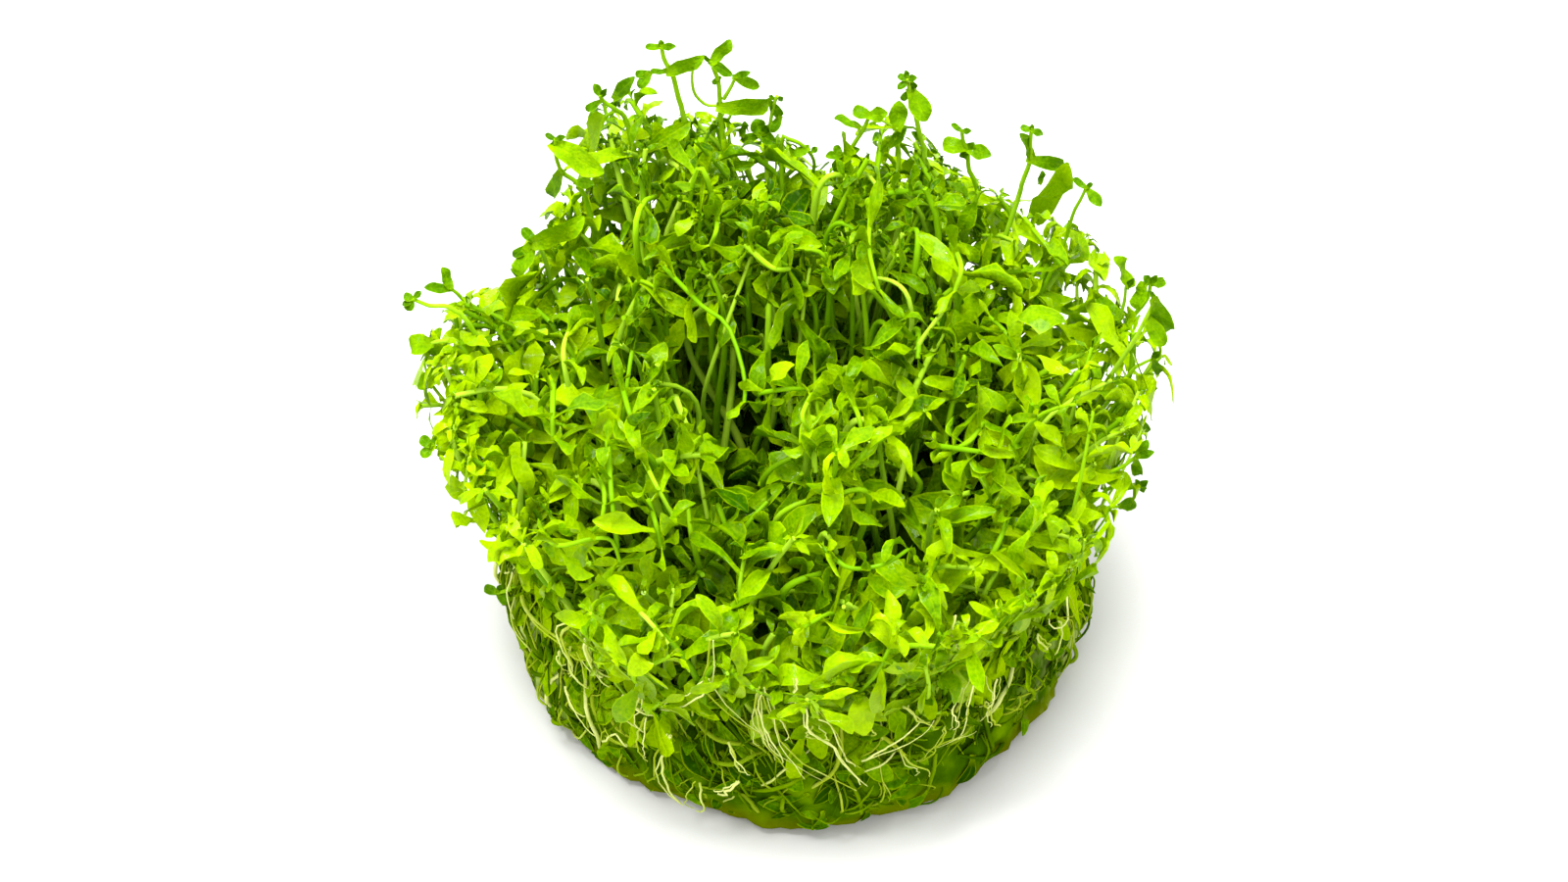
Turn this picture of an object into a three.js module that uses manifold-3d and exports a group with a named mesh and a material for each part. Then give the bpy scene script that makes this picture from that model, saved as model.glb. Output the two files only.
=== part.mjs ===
// Pearlweed: the round clump of an aquarium plant, as it comes out of the cup that it was grown in.
// A mat of roots and stem bases, moulded by the cup, carries tufts of packed leafy stems, and single
// sprigs rise from the mat through the tufts and stand clear of them.
// Millimetres, +Z up. The origin is the middle of the mat's flat underside, and the clump's front is at -Y.
import * as THREE from "three";
import { mergeVertices } from "three/addons/utils/BufferGeometryUtils.js";
import Module from "manifold-3d";

// Driving dimensions
const MAT_RADIUS = 30; // the cup's inside radius at its floor
const MAT_HEIGHT = 14; // top of the roots and stem bases
const MAT_SEGMENTS = 24;
const WALL_BUMP = 0.5; // how far the pressed wall wanders in and out
const GAP = 0.35; // air between pieces that touch
const ROOT_RIDGES = 8; // thick roots that stand out of the mat's wall
const RIDGE = { radius: 0.7, out: 0.5, top: 12, bottom: 1.4, sweep: 24 }; // sweep: degrees round the wall
const STEM_RADIUS = 0.65;
const PAIR_SPACING = 5.5; // along a sprig, from one pair of leaves to the next

// A leaf's half widths, at its middle and at its blunt end, are shares of its length. The foot is the way
// from a stem's axis to where the leaf begins, and the thickness at the midrib is swollen so that it holds.
const LEAF = { foot: 0.25, middle: 0.26, end: 0.1, thickness: 0.7 };

// Rings of tufts, from the rim to the middle: radii of foot and tip, height of the top, half width.
// "start" is the azimuth of the first tuft in degrees, counted from +X towards +Y.
const RINGS = [
  { name: "tuft_outer", count: 12, foot: 24.5, tip: 30, top: 39, width: 8, start: 86, shoots: 3 },
  { name: "tuft_middle", count: 7, foot: 14.5, tip: 17.5, top: 42, width: 9, start: 114, shoots: 2 },
  { name: "tuft_inner", count: 3, foot: 5.5, tip: 6, top: 35, width: 7.5, start: 35, shoots: 2 },
];

// The crown isn't level: humps stand at the back and at both sides with notches between, and the front
// sits lower. "lift" is how far the crown rises there and "reach" how far it leans out.
const HUMPS = [
  { azimuth: 116, lift: 9.5, reach: 0, spread: 17 },
  { azimuth: 62, lift: 6, reach: 0, spread: 12 },
  { azimuth: 36, lift: 4.5, reach: 0, spread: 8 },
  { azimuth: 178, lift: 4, reach: 3, spread: 18 },
  { azimuth: 2, lift: 4, reach: 2, spread: 14 },
  { azimuth: 86, lift: -4, reach: 0, spread: 10 },
  { azimuth: 148, lift: -5.5, reach: 0, spread: 11 },
  { azimuth: 20, lift: -3, reach: 0, spread: 7 },
  { azimuth: 270, lift: -3, reach: 0, spread: 50 },
];

// Single sprigs: where each tip stands, a point that its stem passes through where it bends, its leaf
// pairs, the length of its largest leaf, and the turn of its first pair in degrees.
const SPRIGS = [
  { tip: [-13.7, 26, 59.0], through: [-11.4, 26, 48.6], pairs: 2, leaf: 4.6, turn: 10 },
  { tip: [-7.0, 26.5, 57.5], through: [-5.4, 26, 50.0], pairs: 2, leaf: 5.2, turn: 60 },
  { tip: [-2.2, 28.5, 46.5], pairs: 1, leaf: 4.2, turn: 20 },
  { tip: [-20.2, 26, 51.8], pairs: 2, leaf: 5.0, turn: 130 },
  { tip: [-25.3, 22, 49.6], through: [-24.2, 21, 42.0], pairs: 2, leaf: 5.4, turn: 40 },
  { tip: [-29.6, 17, 42.4], pairs: 2, leaf: 5.0, turn: 0 },
  { tip: [-36.0, 9.5, 43.2], through: [-32.0, 8.5, 38.5], pairs: 1, leaf: 4.4, turn: 20 },
  { tip: [-39.4, 2.5, 44.4], through: [-34.0, 2.5, 42.4], pairs: 1, leaf: 3.4, turn: 80 },
  { tip: [-38.2, -7, 36.0], pairs: 1, leaf: 4.6, turn: 10 },
  { tip: [-34.8, -9, 11.4], through: [-30.6, -8.2, 15.6], pairs: 1, leaf: 4.2, turn: 90 },
  { tip: [6.4, 26, 48.6], pairs: 1, leaf: 4.6, turn: 150 },
  { tip: [11.2, 26, 54.2], through: [12.6, 26, 46.0], pairs: 2, leaf: 5.4, turn: 95 },
  { tip: [17.0, 24, 49.8], through: [17.9, 24, 43.0], pairs: 1, leaf: 5.2, turn: 5 },
  { tip: [23.8, 20, 52.4], through: [22.6, 20, 45.0], pairs: 1, leaf: 5.2, turn: 15 },
  { tip: [29.8, 16, 47.6], through: [27.8, 15.4, 41.0], pairs: 1, leaf: 4.2, turn: 120 },
  { tip: [35.4, 8.5, 43.6], pairs: 2, leaf: 4.6, turn: 70 },
  { tip: [37.8, 1, 41.4], pairs: 2, leaf: 4.8, turn: 100 },
  { tip: [37.0, -9, 31.2], pairs: 1, leaf: 4.4, turn: 60 },
  { tip: [24, -20, 41], pairs: 2, leaf: 5.2, turn: 30 },
  { tip: [3.6, -15.5, 45.6], pairs: 2, leaf: 7.0, turn: 0 },
  { tip: [17.5, -30, 34.6], pairs: 2, leaf: 6.0, turn: 15 },
  { tip: [-20.5, -28.5, 36.2], pairs: 2, leaf: 5.6, turn: 40 },
  { tip: [9, 39.5, 32], pairs: 2, leaf: 5.0, turn: 25 },
  { tip: [-19, 36, 36.5], pairs: 2, leaf: 5.2, turn: 75 },
];

// Shoots are the leafy stem tips that stand out of a tuft: the first near its top, the others down its
// outer side, a step of its height apart. "out" is a share of the tuft's half width, "rise" is how
// steeply a shoot points up, and "fan" and "stray" are degrees to either side.
const TOP_SHOOT = { height: 0.93, out: 0.45, rise: 2.4 };
const SIDE_SHOOT = { height: 0.9, step: 0.18, out: 0.93, rise: 0.55, fan: 36, stray: 24 };
const SHOOT_LEAF = { least: 6.6, spread: 1.6, second: 0.8, raise: 0.32, sunk: 0.4, worthKeeping: 0.4 };

// Share of a tuft's half width at each share of its height.
const TUFT_OUTLINE = [
  [0, 0],
  [0.86, 0],
  [0.94, 0.3],
  [1, 0.6],
  [0.88, 0.82],
  [0.52, 0.96],
  [0, 1],
];
const TUFT_SIDES = 8;
const LEAFY = 0.15; // how far the leaves of the packed stems make a tuft's surface stand in and out
const UNEVEN = 0.16; // how much that differs from place to place

// A sprig's foot stands at a share of its tip's radius, or at the outermost stems of the mat. Each pair of
// leaves is smaller than the one below by the taper, and the young pair at the tip is a share of the first.
const SPRIG = { lean: 0.74, outermost: 25.5, steps: 4, taper: 0.14, raise: 0.2, young: 0.55, youngLift: 0.6 };

const LEAF_GREEN = new THREE.MeshStandardMaterial({ color: 0x8fce12, roughness: 0.45, metalness: 0 });
const TIP_GREEN = new THREE.MeshStandardMaterial({ color: 0x5fa00d, roughness: 0.45, metalness: 0 });
const MAT_OLIVE = new THREE.MeshStandardMaterial({ color: 0x64781a, roughness: 0.3, metalness: 0 });

const wasm = await Module();
wasm.setup();

const radians = (degrees) => (degrees * Math.PI) / 180;
const UP = new THREE.Vector3(0, 0, 1);

function polar(radius, azimuth, z) {
  return new THREE.Vector3(radius * Math.cos(radians(azimuth)), radius * Math.sin(radians(azimuth)), z);
}

// A repeatable number from 0 to 1 for each pair of whole numbers.
function chance(item, draw) {
  const wave = Math.sin(item * 12.9898 + draw * 78.233) * 43758.5453;
  return wave - Math.floor(wave);
}

// Moves each vertex of a geometry by a rule that changes the vector in place.
function reshape(geometry, rule) {
  const places = geometry.getAttribute("position");
  const vertex = new THREE.Vector3();
  for (let i = 0; i < places.count; i++) {
    vertex.fromBufferAttribute(places, i);
    rule(vertex);
    places.setXYZ(i, vertex.x, vertex.y, vertex.z);
  }
  return geometry;
}

// A closed geometry as a solid that can be joined and cut.
function solidOf(geometry) {
  const bare = geometry.clone();
  bare.deleteAttribute("normal");
  bare.deleteAttribute("uv");
  const merged = mergeVertices(bare, 1e-3);
  return new wasm.Manifold(
    new wasm.Mesh({
      numProp: 3,
      vertProperties: new Float32Array(merged.getAttribute("position").array),
      triVerts: new Uint32Array(merged.index.array),
    }),
  );
}

// A solid as a named mesh, without any crumbs that a cut left beside its main body.
function meshOf(solid, name, material) {
  const bodies = solid.decompose().sort((a, b) => b.volume() - a.volume());
  const { vertProperties, triVerts } = bodies[0].getMesh();
  const geometry = new THREE.BufferGeometry();
  geometry.setAttribute("position", new THREE.BufferAttribute(vertProperties, 3));
  geometry.setIndex(new THREE.BufferAttribute(triVerts, 1));
  geometry.computeVertexNormals();
  const mesh = new THREE.Mesh(geometry, material);
  mesh.name = name;
  return mesh;
}

// A three-sided stem of even thickness along a smooth curve through the points.
function stem(points, radius, steps) {
  const corners = [0, 120, 240].map((angle) => polar(radius, angle, 0));
  const section = new THREE.Shape(corners.map(({ x, y }) => new THREE.Vector2(x, y)));
  const extrudePath = new THREE.CatmullRomCurve3(points);
  return solidOf(new THREE.ExtrudeGeometry(section, { steps, bevelEnabled: false, extrudePath }));
}

// The turn that takes local +Z to "normal", spun about it by "turn" degrees.
function facing(normal, turn) {
  const tilt = new THREE.Quaternion().setFromUnitVectors(UP, normal.clone().normalize());
  return tilt.multiply(new THREE.Quaternion().setFromAxisAngle(UP, radians(turn)));
}

function placed(geometry, position, quaternion) {
  return geometry.applyMatrix4(new THREE.Matrix4().compose(position, quaternion, new THREE.Vector3(1, 1, 1)));
}

// One leaf along +X: a flat lens with five corners, narrow at its foot, blunt at its end, which is raised.
// "grow" makes it larger all round, but leaves it standing as high.
function leaf(length, raise, grow = 0) {
  const middle = LEAF.middle * length + grow;
  const end = LEAF.end * length + grow;
  const corners = [
    [-grow, 0],
    [length / 2, middle],
    [length + grow, end],
    [length + grow, -end],
    [length / 2, -middle],
  ];
  return reshape(new THREE.SphereGeometry(1, corners.length, 2), (v) => {
    if (Math.abs(v.y) > 0.5) {
      v.set(length / 2, 0, 0.3 * raise * length + Math.sign(v.y) * (LEAF.thickness / 2 + 2 * grow));
      return;
    }
    const corner = Math.round((Math.atan2(v.z, v.x) / (2 * Math.PI)) * corners.length);
    const [x, y] = corners[(corner + corners.length) % corners.length];
    v.set(x, y, raise * length * Math.min(x / length, 1) ** 2);
  });
}

// Leaves round a stem at one node: two that face each other, or the cross of four at a shoot's tip.
function whorl(lengths, raise, node, quaternion, grow = 0) {
  return lengths.map((length, arm) => {
    const turn = new THREE.Quaternion().setFromAxisAngle(UP, (2 * Math.PI * arm) / lengths.length);
    const out = new THREE.Vector3(LEAF.foot, 0, 0).applyQuaternion(turn).applyQuaternion(quaternion);
    return placed(leaf(length, raise, grow), out.add(node), quaternion.clone().multiply(turn));
  });
}

// The mat's outline from the middle of its underside, over its moulded wall, to the middle of its top.
const MAT_PROFILE = [
  [0, 0],
  [MAT_RADIUS - 1, 0],
  [MAT_RADIUS + 0.3, 1.2],
  [MAT_RADIUS + 0.8, 5.2],
  [MAT_RADIUS + 1, 10],
  [MAT_RADIUS + 0.2, MAT_HEIGHT - 1],
  [MAT_RADIUS - 1.6, MAT_HEIGHT],
  [0, MAT_HEIGHT],
];

function wallWander(azimuth, z) {
  return WALL_BUMP * (Math.sin(5 * azimuth + 0.35 * z) + 0.7 * Math.sin(11 * azimuth - 0.5 * z + 1));
}

// The root mat, with the thickest roots as ridges down its wall.
function rootMat() {
  const profile = MAT_PROFILE.map(([r, z]) => new THREE.Vector2(r, z));
  const puck = reshape(new THREE.LatheGeometry(profile, MAT_SEGMENTS).rotateX(Math.PI / 2), (v) => {
    const radius = Math.hypot(v.x, v.y);
    if (radius < 1) return;
    const out = 1 + wallWander(Math.atan2(v.y, v.x), v.z) / radius;
    v.set(v.x * out, v.y * out, v.z);
  });
  const ridges = Array.from({ length: ROOT_RIDGES }, (_, i) => {
    const azimuth = (360 / ROOT_RIDGES) * (i + 0.5 * chance(i, 1));
    const sweep = RIDGE.sweep * (chance(i, 2) - 0.5);
    const ends = [
      [azimuth, RIDGE.top],
      [azimuth + sweep, RIDGE.bottom],
    ].map(([at, z]) => polar(MAT_RADIUS + RIDGE.out + wallWander(radians(at), z), at, z));
    return stem(ends, RIDGE.radius, 1);
  });
  return ridges.reduce((mat, ridge) => mat.add(ridge), solidOf(puck));
}

// How far the humps together move the crown at an azimuth in degrees, by their "lift" or their "reach".
function moved(azimuth, by) {
  return HUMPS.reduce((sum, hump) => {
    const away = ((azimuth - hump.azimuth + 540) % 360) - 180;
    return sum + hump[by] * Math.exp(-0.5 * (away / hump.spread) ** 2);
  }, 0);
}

// Every tuft's axis: its foot in the mat and its tip at the crown.
const tufts = RINGS.flatMap((ring, r) =>
  Array.from({ length: ring.count }, (_, i) => {
    const azimuth = ring.start + (360 / ring.count) * i + 5 * (chance(i, 10 + r) - 0.5);
    const share = ring.tip / RINGS[0].tip;
    const top = ring.top + share * moved(azimuth, "lift") + 2 * (chance(i, 20 + r) - 0.5);
    return {
      ...ring,
      name: ring.name + "_" + String(i + 1).padStart(2, "0"),
      seed: 100 * r + i,
      azimuth,
      foot: polar(ring.foot, azimuth, MAT_HEIGHT + GAP),
      tip: polar(ring.tip + share * moved(azimuth, "reach"), azimuth, top),
    };
  }),
);

// A tuft keeps to its own side of the planes halfway to the other tufts. Each plane is a normal that
// points into the cell and the least value of its dot product with a point inside.
for (const tuft of tufts) {
  tuft.cell = tufts
    .filter((other) => other !== tuft)
    .map((other) => {
      const footMiddle = tuft.foot.clone().add(other.foot).multiplyScalar(0.5);
      const tipMiddle = tuft.tip.clone().add(other.tip).multiplyScalar(0.5);
      const across = tuft.tip.clone().add(tuft.foot).sub(other.tip).sub(other.foot).setZ(0);
      const along = tipMiddle.clone().sub(footMiddle);
      const normal = across.addScaledVector(along, -across.dot(along) / along.lengthSq()).normalize();
      return { normal, least: normal.dot(tipMiddle) + GAP / 2 };
    });
}

// The share of the way from one point to another that stays in the tuft's cell, at most all of it.
function shareInCell(tuft, from, to) {
  const way = to.clone().sub(from);
  const shares = tuft.cell
    .filter(({ normal }) => normal.dot(way) < 0)
    .map(({ normal, least }) => (least - normal.dot(from)) / normal.dot(way));
  return Math.min(1, ...shares);
}

// The packed stems of a tuft: a rough, leafy body that leans from its foot to its tip.
function tuftBody(tuft) {
  const profile = TUFT_OUTLINE.map(([r, t]) => new THREE.Vector2(r, t));
  const turned = new THREE.LatheGeometry(profile, TUFT_SIDES).rotateX(Math.PI / 2);
  return solidOf(
    reshape(turned, (v) => {
      const side = Math.round((Math.atan2(v.y, v.x) / (2 * Math.PI)) * TUFT_SIDES + TUFT_SIDES) % TUFT_SIDES;
      const row = TUFT_OUTLINE.findIndex(([, t]) => Math.abs(t - v.z) < 1e-4);
      const stands = (side + row) % 2 ? LEAFY : -LEAFY;
      const rough = 1 + stands + UNEVEN * (chance(tuft.seed + side, row) - 0.5);
      const between = row > 0 && row < TUFT_OUTLINE.length - 1;
      const rise = between ? 1.5 * stands * (chance(tuft.seed + row, side) + 0.5) : 0;
      const axis = tuft.foot.clone().lerp(tuft.tip, v.z);
      const out = new THREE.Vector3(rough * v.x, rough * v.y, rise).multiplyScalar(tuft.width);
      out.applyAxisAngle(UP, radians(tuft.azimuth)).add(axis);
      v.lerpVectors(axis, out, shareInCell(tuft, axis, out));
    }),
  );
}

// Where a tuft's shoot grows out of its body, and the way that it points.
function shootPlace(tuft, i) {
  const aside = i % 2 ? SIDE_SHOOT.fan : -SIDE_SHOOT.fan;
  const stray = SIDE_SHOOT.stray * (chance(tuft.seed, i) - 0.5);
  const shoot = i ? { ...SIDE_SHOOT, turn: aside + stray } : { ...TOP_SHOOT, turn: 0, step: 0 };
  const outwards = polar(1, tuft.azimuth + shoot.turn, 0);
  const axis = tuft.foot.clone().lerp(tuft.tip, shoot.height - i * shoot.step);
  const skin = axis.clone().addScaledVector(outwards, tuft.width * shoot.out);
  const normal = outwards.setZ(shoot.rise).normalize();
  const node = axis.clone().lerp(skin, 0.95 * shareInCell(tuft, axis, skin));
  return { node: node.addScaledVector(normal, -SHOOT_LEAF.sunk), normal };
}

// The shoots of a tuft: a cross of leaves near its top, and pairs down its outer side. A leaf that would
// reach into the next tuft is shorter, and is left off where hardly any of it would fit.
function tuftShoots(tuft) {
  const blades = [];
  for (let i = 0; i < tuft.shoots; i++) {
    const { node, normal } = shootPlace(tuft, i);
    const turn = facing(normal, 90 * chance(tuft.seed, 40 + i));
    const length = SHOOT_LEAF.least + SHOOT_LEAF.spread * chance(tuft.seed, 30 + i);
    const second = SHOOT_LEAF.second * length;
    const lengths = i ? [length, length] : [length, second, length, second];
    for (const blade of whorl(lengths, SHOOT_LEAF.raise, node, turn)) {
      let fit = 1;
      reshape(blade, (v) => {
        fit = Math.min(fit, shareInCell(tuft, node, v));
      });
      reshape(blade, (v) => v.lerpVectors(node, v, fit));
      if (fit > SHOOT_LEAF.worthKeeping) blades.push(solidOf(blade));
    }
  }
  return blades;
}

// A sprig's stem: from the mat up through its tuft and out to its tip.
function sprigRoute(sprig) {
  const tip = new THREE.Vector3(...sprig.tip);
  const reach = Math.hypot(tip.x, tip.y);
  const foot = tip.clone().multiplyScalar(Math.min(SPRIG.lean, SPRIG.outermost / reach));
  foot.z = MAT_HEIGHT + 1.6 * GAP;
  const middle = foot.clone().lerp(tip, 0.5).multiply(new THREE.Vector3(0.98, 0.98, 1.04));
  return [foot, sprig.through ? new THREE.Vector3(...sprig.through) : middle, tip];
}

// A sprig: its stem, pairs of leaves that face each other, each pair a quarter turn from the last, and
// a small pair of young leaves at the tip. A grown one is the room that it needs.
function sprigSolid(sprig, grow) {
  const route = sprigRoute(sprig);
  const curve = new THREE.CatmullRomCurve3(route);
  let solid = stem(route, STEM_RADIUS + 2.2 * grow, SPRIG.steps);
  for (let pair = 0; pair <= sprig.pairs; pair++) {
    const young = pair === sprig.pairs;
    const share = 1 - ((sprig.pairs - pair) * PAIR_SPACING) / curve.getLength();
    const heading = curve.getTangentAt(share).lerp(UP, 0.35).normalize();
    const length = sprig.leaf * (young ? SPRIG.young : 1 - SPRIG.taper * pair);
    const node = curve.getPointAt(share).addScaledVector(heading, young ? -LEAF.thickness / 2 : 0);
    const raise = young ? SPRIG.youngLift : SPRIG.raise;
    for (const blade of whorl([length, length], raise, node, facing(heading, sprig.turn + 90 * pair), grow)) {
      solid = solid.add(solidOf(blade));
    }
  }
  return solid;
}

const clump = new THREE.Group();
clump.name = "pearlweed";
clump.add(meshOf(rootMat(), "root_mat", MAT_OLIVE));

const sprigRooms = SPRIGS.map((sprig) => sprigSolid(sprig, GAP));
for (const tuft of tufts) {
  const whole = tuftShoots(tuft).reduce((sum, blade) => sum.add(blade), tuftBody(tuft));
  const channelled = sprigRooms.reduce((rest, room) => rest.subtract(room), whole);
  clump.add(meshOf(channelled, tuft.name, LEAF_GREEN));
}

SPRIGS.forEach((sprig, i) => {
  const name = "sprig_" + String(i + 1).padStart(2, "0");
  clump.add(meshOf(sprigSolid(sprig, 0), name, TIP_GREEN));
});

export default clump;
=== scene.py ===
import math

import bpy
import numpy as np
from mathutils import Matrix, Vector, noise
from mathutils.bvhtree import BVHTree


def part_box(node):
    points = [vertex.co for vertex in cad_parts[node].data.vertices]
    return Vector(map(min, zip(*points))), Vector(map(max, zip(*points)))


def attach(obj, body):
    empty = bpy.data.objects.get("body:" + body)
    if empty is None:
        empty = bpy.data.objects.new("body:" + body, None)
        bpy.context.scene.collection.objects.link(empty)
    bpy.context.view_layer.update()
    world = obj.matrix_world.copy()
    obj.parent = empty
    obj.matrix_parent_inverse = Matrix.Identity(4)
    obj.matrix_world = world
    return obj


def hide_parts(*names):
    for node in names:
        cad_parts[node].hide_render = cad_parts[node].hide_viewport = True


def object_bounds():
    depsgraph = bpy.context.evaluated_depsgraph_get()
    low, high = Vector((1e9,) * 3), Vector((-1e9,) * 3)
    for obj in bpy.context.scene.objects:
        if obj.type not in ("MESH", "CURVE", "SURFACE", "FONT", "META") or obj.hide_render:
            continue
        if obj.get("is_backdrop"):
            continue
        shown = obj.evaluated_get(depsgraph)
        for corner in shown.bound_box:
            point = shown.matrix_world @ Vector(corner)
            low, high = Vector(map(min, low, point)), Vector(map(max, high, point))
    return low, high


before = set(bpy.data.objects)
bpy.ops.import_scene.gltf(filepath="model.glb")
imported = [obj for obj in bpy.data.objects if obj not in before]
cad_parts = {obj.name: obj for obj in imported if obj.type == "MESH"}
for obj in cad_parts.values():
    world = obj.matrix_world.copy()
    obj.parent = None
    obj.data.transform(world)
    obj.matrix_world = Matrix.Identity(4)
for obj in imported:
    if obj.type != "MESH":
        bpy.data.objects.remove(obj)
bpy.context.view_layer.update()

mm = 0.001

# Root mat: the disc of roots, stem bases and clear gel that the culture cup moulded, flat underneath.
# It is soaked and dark olive, paler at the left and right: streaks of roots pressed against the cup, with
# a painted sheen of the wet film where the wall is seen at a glancing angle. It is amber along the foot,
# where bare gel shows.
MAT_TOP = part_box("root_mat")[1].z
MAT_RADIUS = 30 * mm
# The wall from the foot up: height and radius in mm.
MAT_WALL = [(0, 29), (0.5, 29.7), (1.2, 30.3), (5.2, 30.5), (10, 30.4), (13, 29.8), (14, 28.2)]
WALL_WANDER = 0.5  # mm that the wall wanders in and out
MAT_DENTS = [(238, 1.3), (304, 0.9), (271, -0.4)]  # azimuth in degrees, depth in mm at the foot
DENT_BREADTH = 13  # degrees
DENTS_TO = 10  # mm above the foot
MAT_LEAN = 0.5  # how far in mm the wall leans to the left, from the same height up
WALL_RIPPLES = [(0.6, 11, 7, 0), (0.3, 27, 5, 4)]  # depth in mm, how many in a radian, height in mm, seed
WALL_LUMPS = [(0.35, 3.2), (0.2, 1.3)]  # depth and size in mm
MAT_SEGMENTS = 200
MAT_ROWS = 32
CAP_RINGS = (0.85, 0.8, 0.7, 0.5)  # rings of the flat top and underside, each a share of the one before
SHARP_FROM = math.radians(60)  # creases sharper than this stay sharp, also between a leaf's two sides


def primitive(name, add, **settings):
    """A new primitive under its own name, the only thing that is selected."""
    bpy.ops.object.select_all(action="DESELECT")
    add(**settings)
    piece = bpy.context.object
    piece.name = piece.data.name = name
    return piece


def select(piece, rule):
    """Selects the vertices whose place the rule picks, in edit mode."""
    bpy.ops.object.mode_set(mode="EDIT")
    bpy.ops.mesh.select_mode(type="VERT")
    bpy.ops.mesh.select_all(action="DESELECT")
    bpy.ops.object.mode_set(mode="OBJECT")
    for vertex in piece.data.vertices:
        vertex.select = rule(vertex.co)
    bpy.ops.object.mode_set(mode="EDIT")


def wall_radius(azimuth, z):
    """The mat's radius: the cup's moulded wall, which wanders in and out over the stems behind it."""
    heights, radii = zip(*MAT_WALL)
    h = z / mm
    wander = np.sin(5 * azimuth + 0.35 * h) + 0.7 * np.sin(11 * azimuth - 0.5 * h + 1)
    low = np.clip(1 - h / DENTS_TO, 0, 1)
    for middle, depth in MAT_DENTS:
        turned = np.remainder(np.degrees(azimuth) - middle + 180, 360) - 180
        wander = wander - depth / WALL_WANDER * low * np.exp(-((turned / DENT_BREADTH) ** 2))
    lean = MAT_LEAN * np.clip(h / DENTS_TO, 0, 1) * np.cos(azimuth)
    return (np.interp(h, heights, radii) + WALL_WANDER * wander - lean) * mm


def close_with_rings():
    """Closes the selected rim with smaller and smaller rings, down to a point in the middle."""
    for share in CAP_RINGS:
        bpy.ops.mesh.extrude_region_move()
        bpy.ops.transform.resize(value=(share, share, 1))
    bpy.ops.mesh.merge(type="CENTER")


foot_radius = MAT_WALL[0][1] * mm
circle = bpy.ops.mesh.primitive_circle_add
root_mat = primitive("root_mat_wet", circle, vertices=MAT_SEGMENTS, radius=foot_radius)
bpy.ops.object.mode_set(mode="EDIT")
for row in range(MAT_ROWS):
    bpy.ops.mesh.extrude_region_move(TRANSFORM_OT_translate={"value": (0, 0, MAT_TOP / MAT_ROWS)})
close_with_rings()
select(root_mat, lambda co: co.z < 0.01 * mm)
close_with_rings()
bpy.ops.mesh.select_all(action="SELECT")
bpy.ops.mesh.normals_make_consistent(inside=False)
bpy.ops.object.mode_set(mode="OBJECT")
for vertex in root_mat.data.vertices:
    co = vertex.co
    share = math.hypot(co.x, co.y) / foot_radius
    azimuth = math.atan2(co.y, co.x)
    ripple = sum(
        depth * noise.noise((azimuth * often, co.z / (tall * mm), seed))
        for depth, often, tall, seed in WALL_RIPPLES
    )
    lump = sum(depth * noise.noise(co / (size * mm)) for depth, size in WALL_LUMPS)
    radius = share * (wall_radius(azimuth, co.z) + (ripple + lump) * mm)
    above = co.z + (lump * mm if 0.5 * mm < co.z else 0)  # the underside stays flat
    vertex.co = (radius * math.cos(azimuth), radius * math.sin(azimuth), max(0, above))
bpy.ops.object.shade_smooth_by_angle(angle=SHARP_FROM)


def linear(colour):
    """An sRGB hex colour as linear light."""
    channels = [int(colour[i : i + 2], 16) / 255 for i in (1, 3, 5)]
    return [c / 12.92 if c <= 0.04045 else ((c + 0.055) / 1.055) ** 2.4 for c in channels] + [1]


def add(material, kind, inputs, stops=(), **settings):
    """Adds a node with its settings, and a ramp with its stops, each a place and an sRGB hex colour. An
    input is a value, a socket that is linked to it, or a node whose first output is linked to it."""
    tree = material.node_tree
    made = tree.nodes.new(kind)
    for name, value in settings.items():
        setattr(made, name, value)
    for name, value in inputs.items():
        if isinstance(value, bpy.types.Node):
            value = value.outputs[0]
        if isinstance(value, bpy.types.NodeSocket):
            tree.links.new(value, made.inputs[name])
        else:
            made.inputs[name].default_value = value
    for _ in stops[2:]:
        made.color_ramp.elements.new(0.5)
    for i, (place, colour) in enumerate(stops):
        made.color_ramp.elements[i].position = place
        made.color_ramp.elements[i].color = linear(colour)
    return made


def new_material(name):
    """An empty material and its output node."""
    material = bpy.data.materials.new(name)
    material.use_nodes = True
    material.node_tree.nodes.clear()
    return material, material.node_tree.nodes.new("ShaderNodeOutputMaterial")


# Wet roots and gel pressed smooth by plastic: clumps of olive and near-black green, whitish streaks on
# the left and right, and amber gel along the foot. The whitish streaks are roots under a cloudy film and a
# painted sheen, the wet film's glancing reflection. The greens are kept dark, partly as the soaked gel's
# own colour and partly as painted shade from the crown above. It drinks in the soft light, so it has no
# specular part, which would wash it grey at a glancing angle.
wet_mat, surface = new_material("wet_root_mat")
place = add(wet_mat, "ShaderNodeTexCoord", {}).outputs["Object"]
clumps = add(wet_mat, "ShaderNodeTexNoise", {"Vector": place, "Scale": 1 / (5 * mm), "Detail": 6.0})
greens = [(0.32, "#1c3600"), (0.5, "#365600"), (0.68, "#5c7c00")]
olive = add(wet_mat, "ShaderNodeValToRGB", {"Fac": clumps}, stops=greens)
parts = add(wet_mat, "ShaderNodeSeparateXYZ", {"Vector": place})
foot_range = {"From Min": 0.8 * mm, "From Max": 4.2 * mm, "To Min": 0.85, "To Max": 0.0}
foot = add(wet_mat, "ShaderNodeMapRange", {"Value": parts.outputs["Z"], **foot_range})
amber = linear("#626800")
toned = add(wet_mat, "ShaderNodeMix", {0: foot, 6: olive, 7: amber}, data_type="RGBA").outputs[2]
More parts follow.
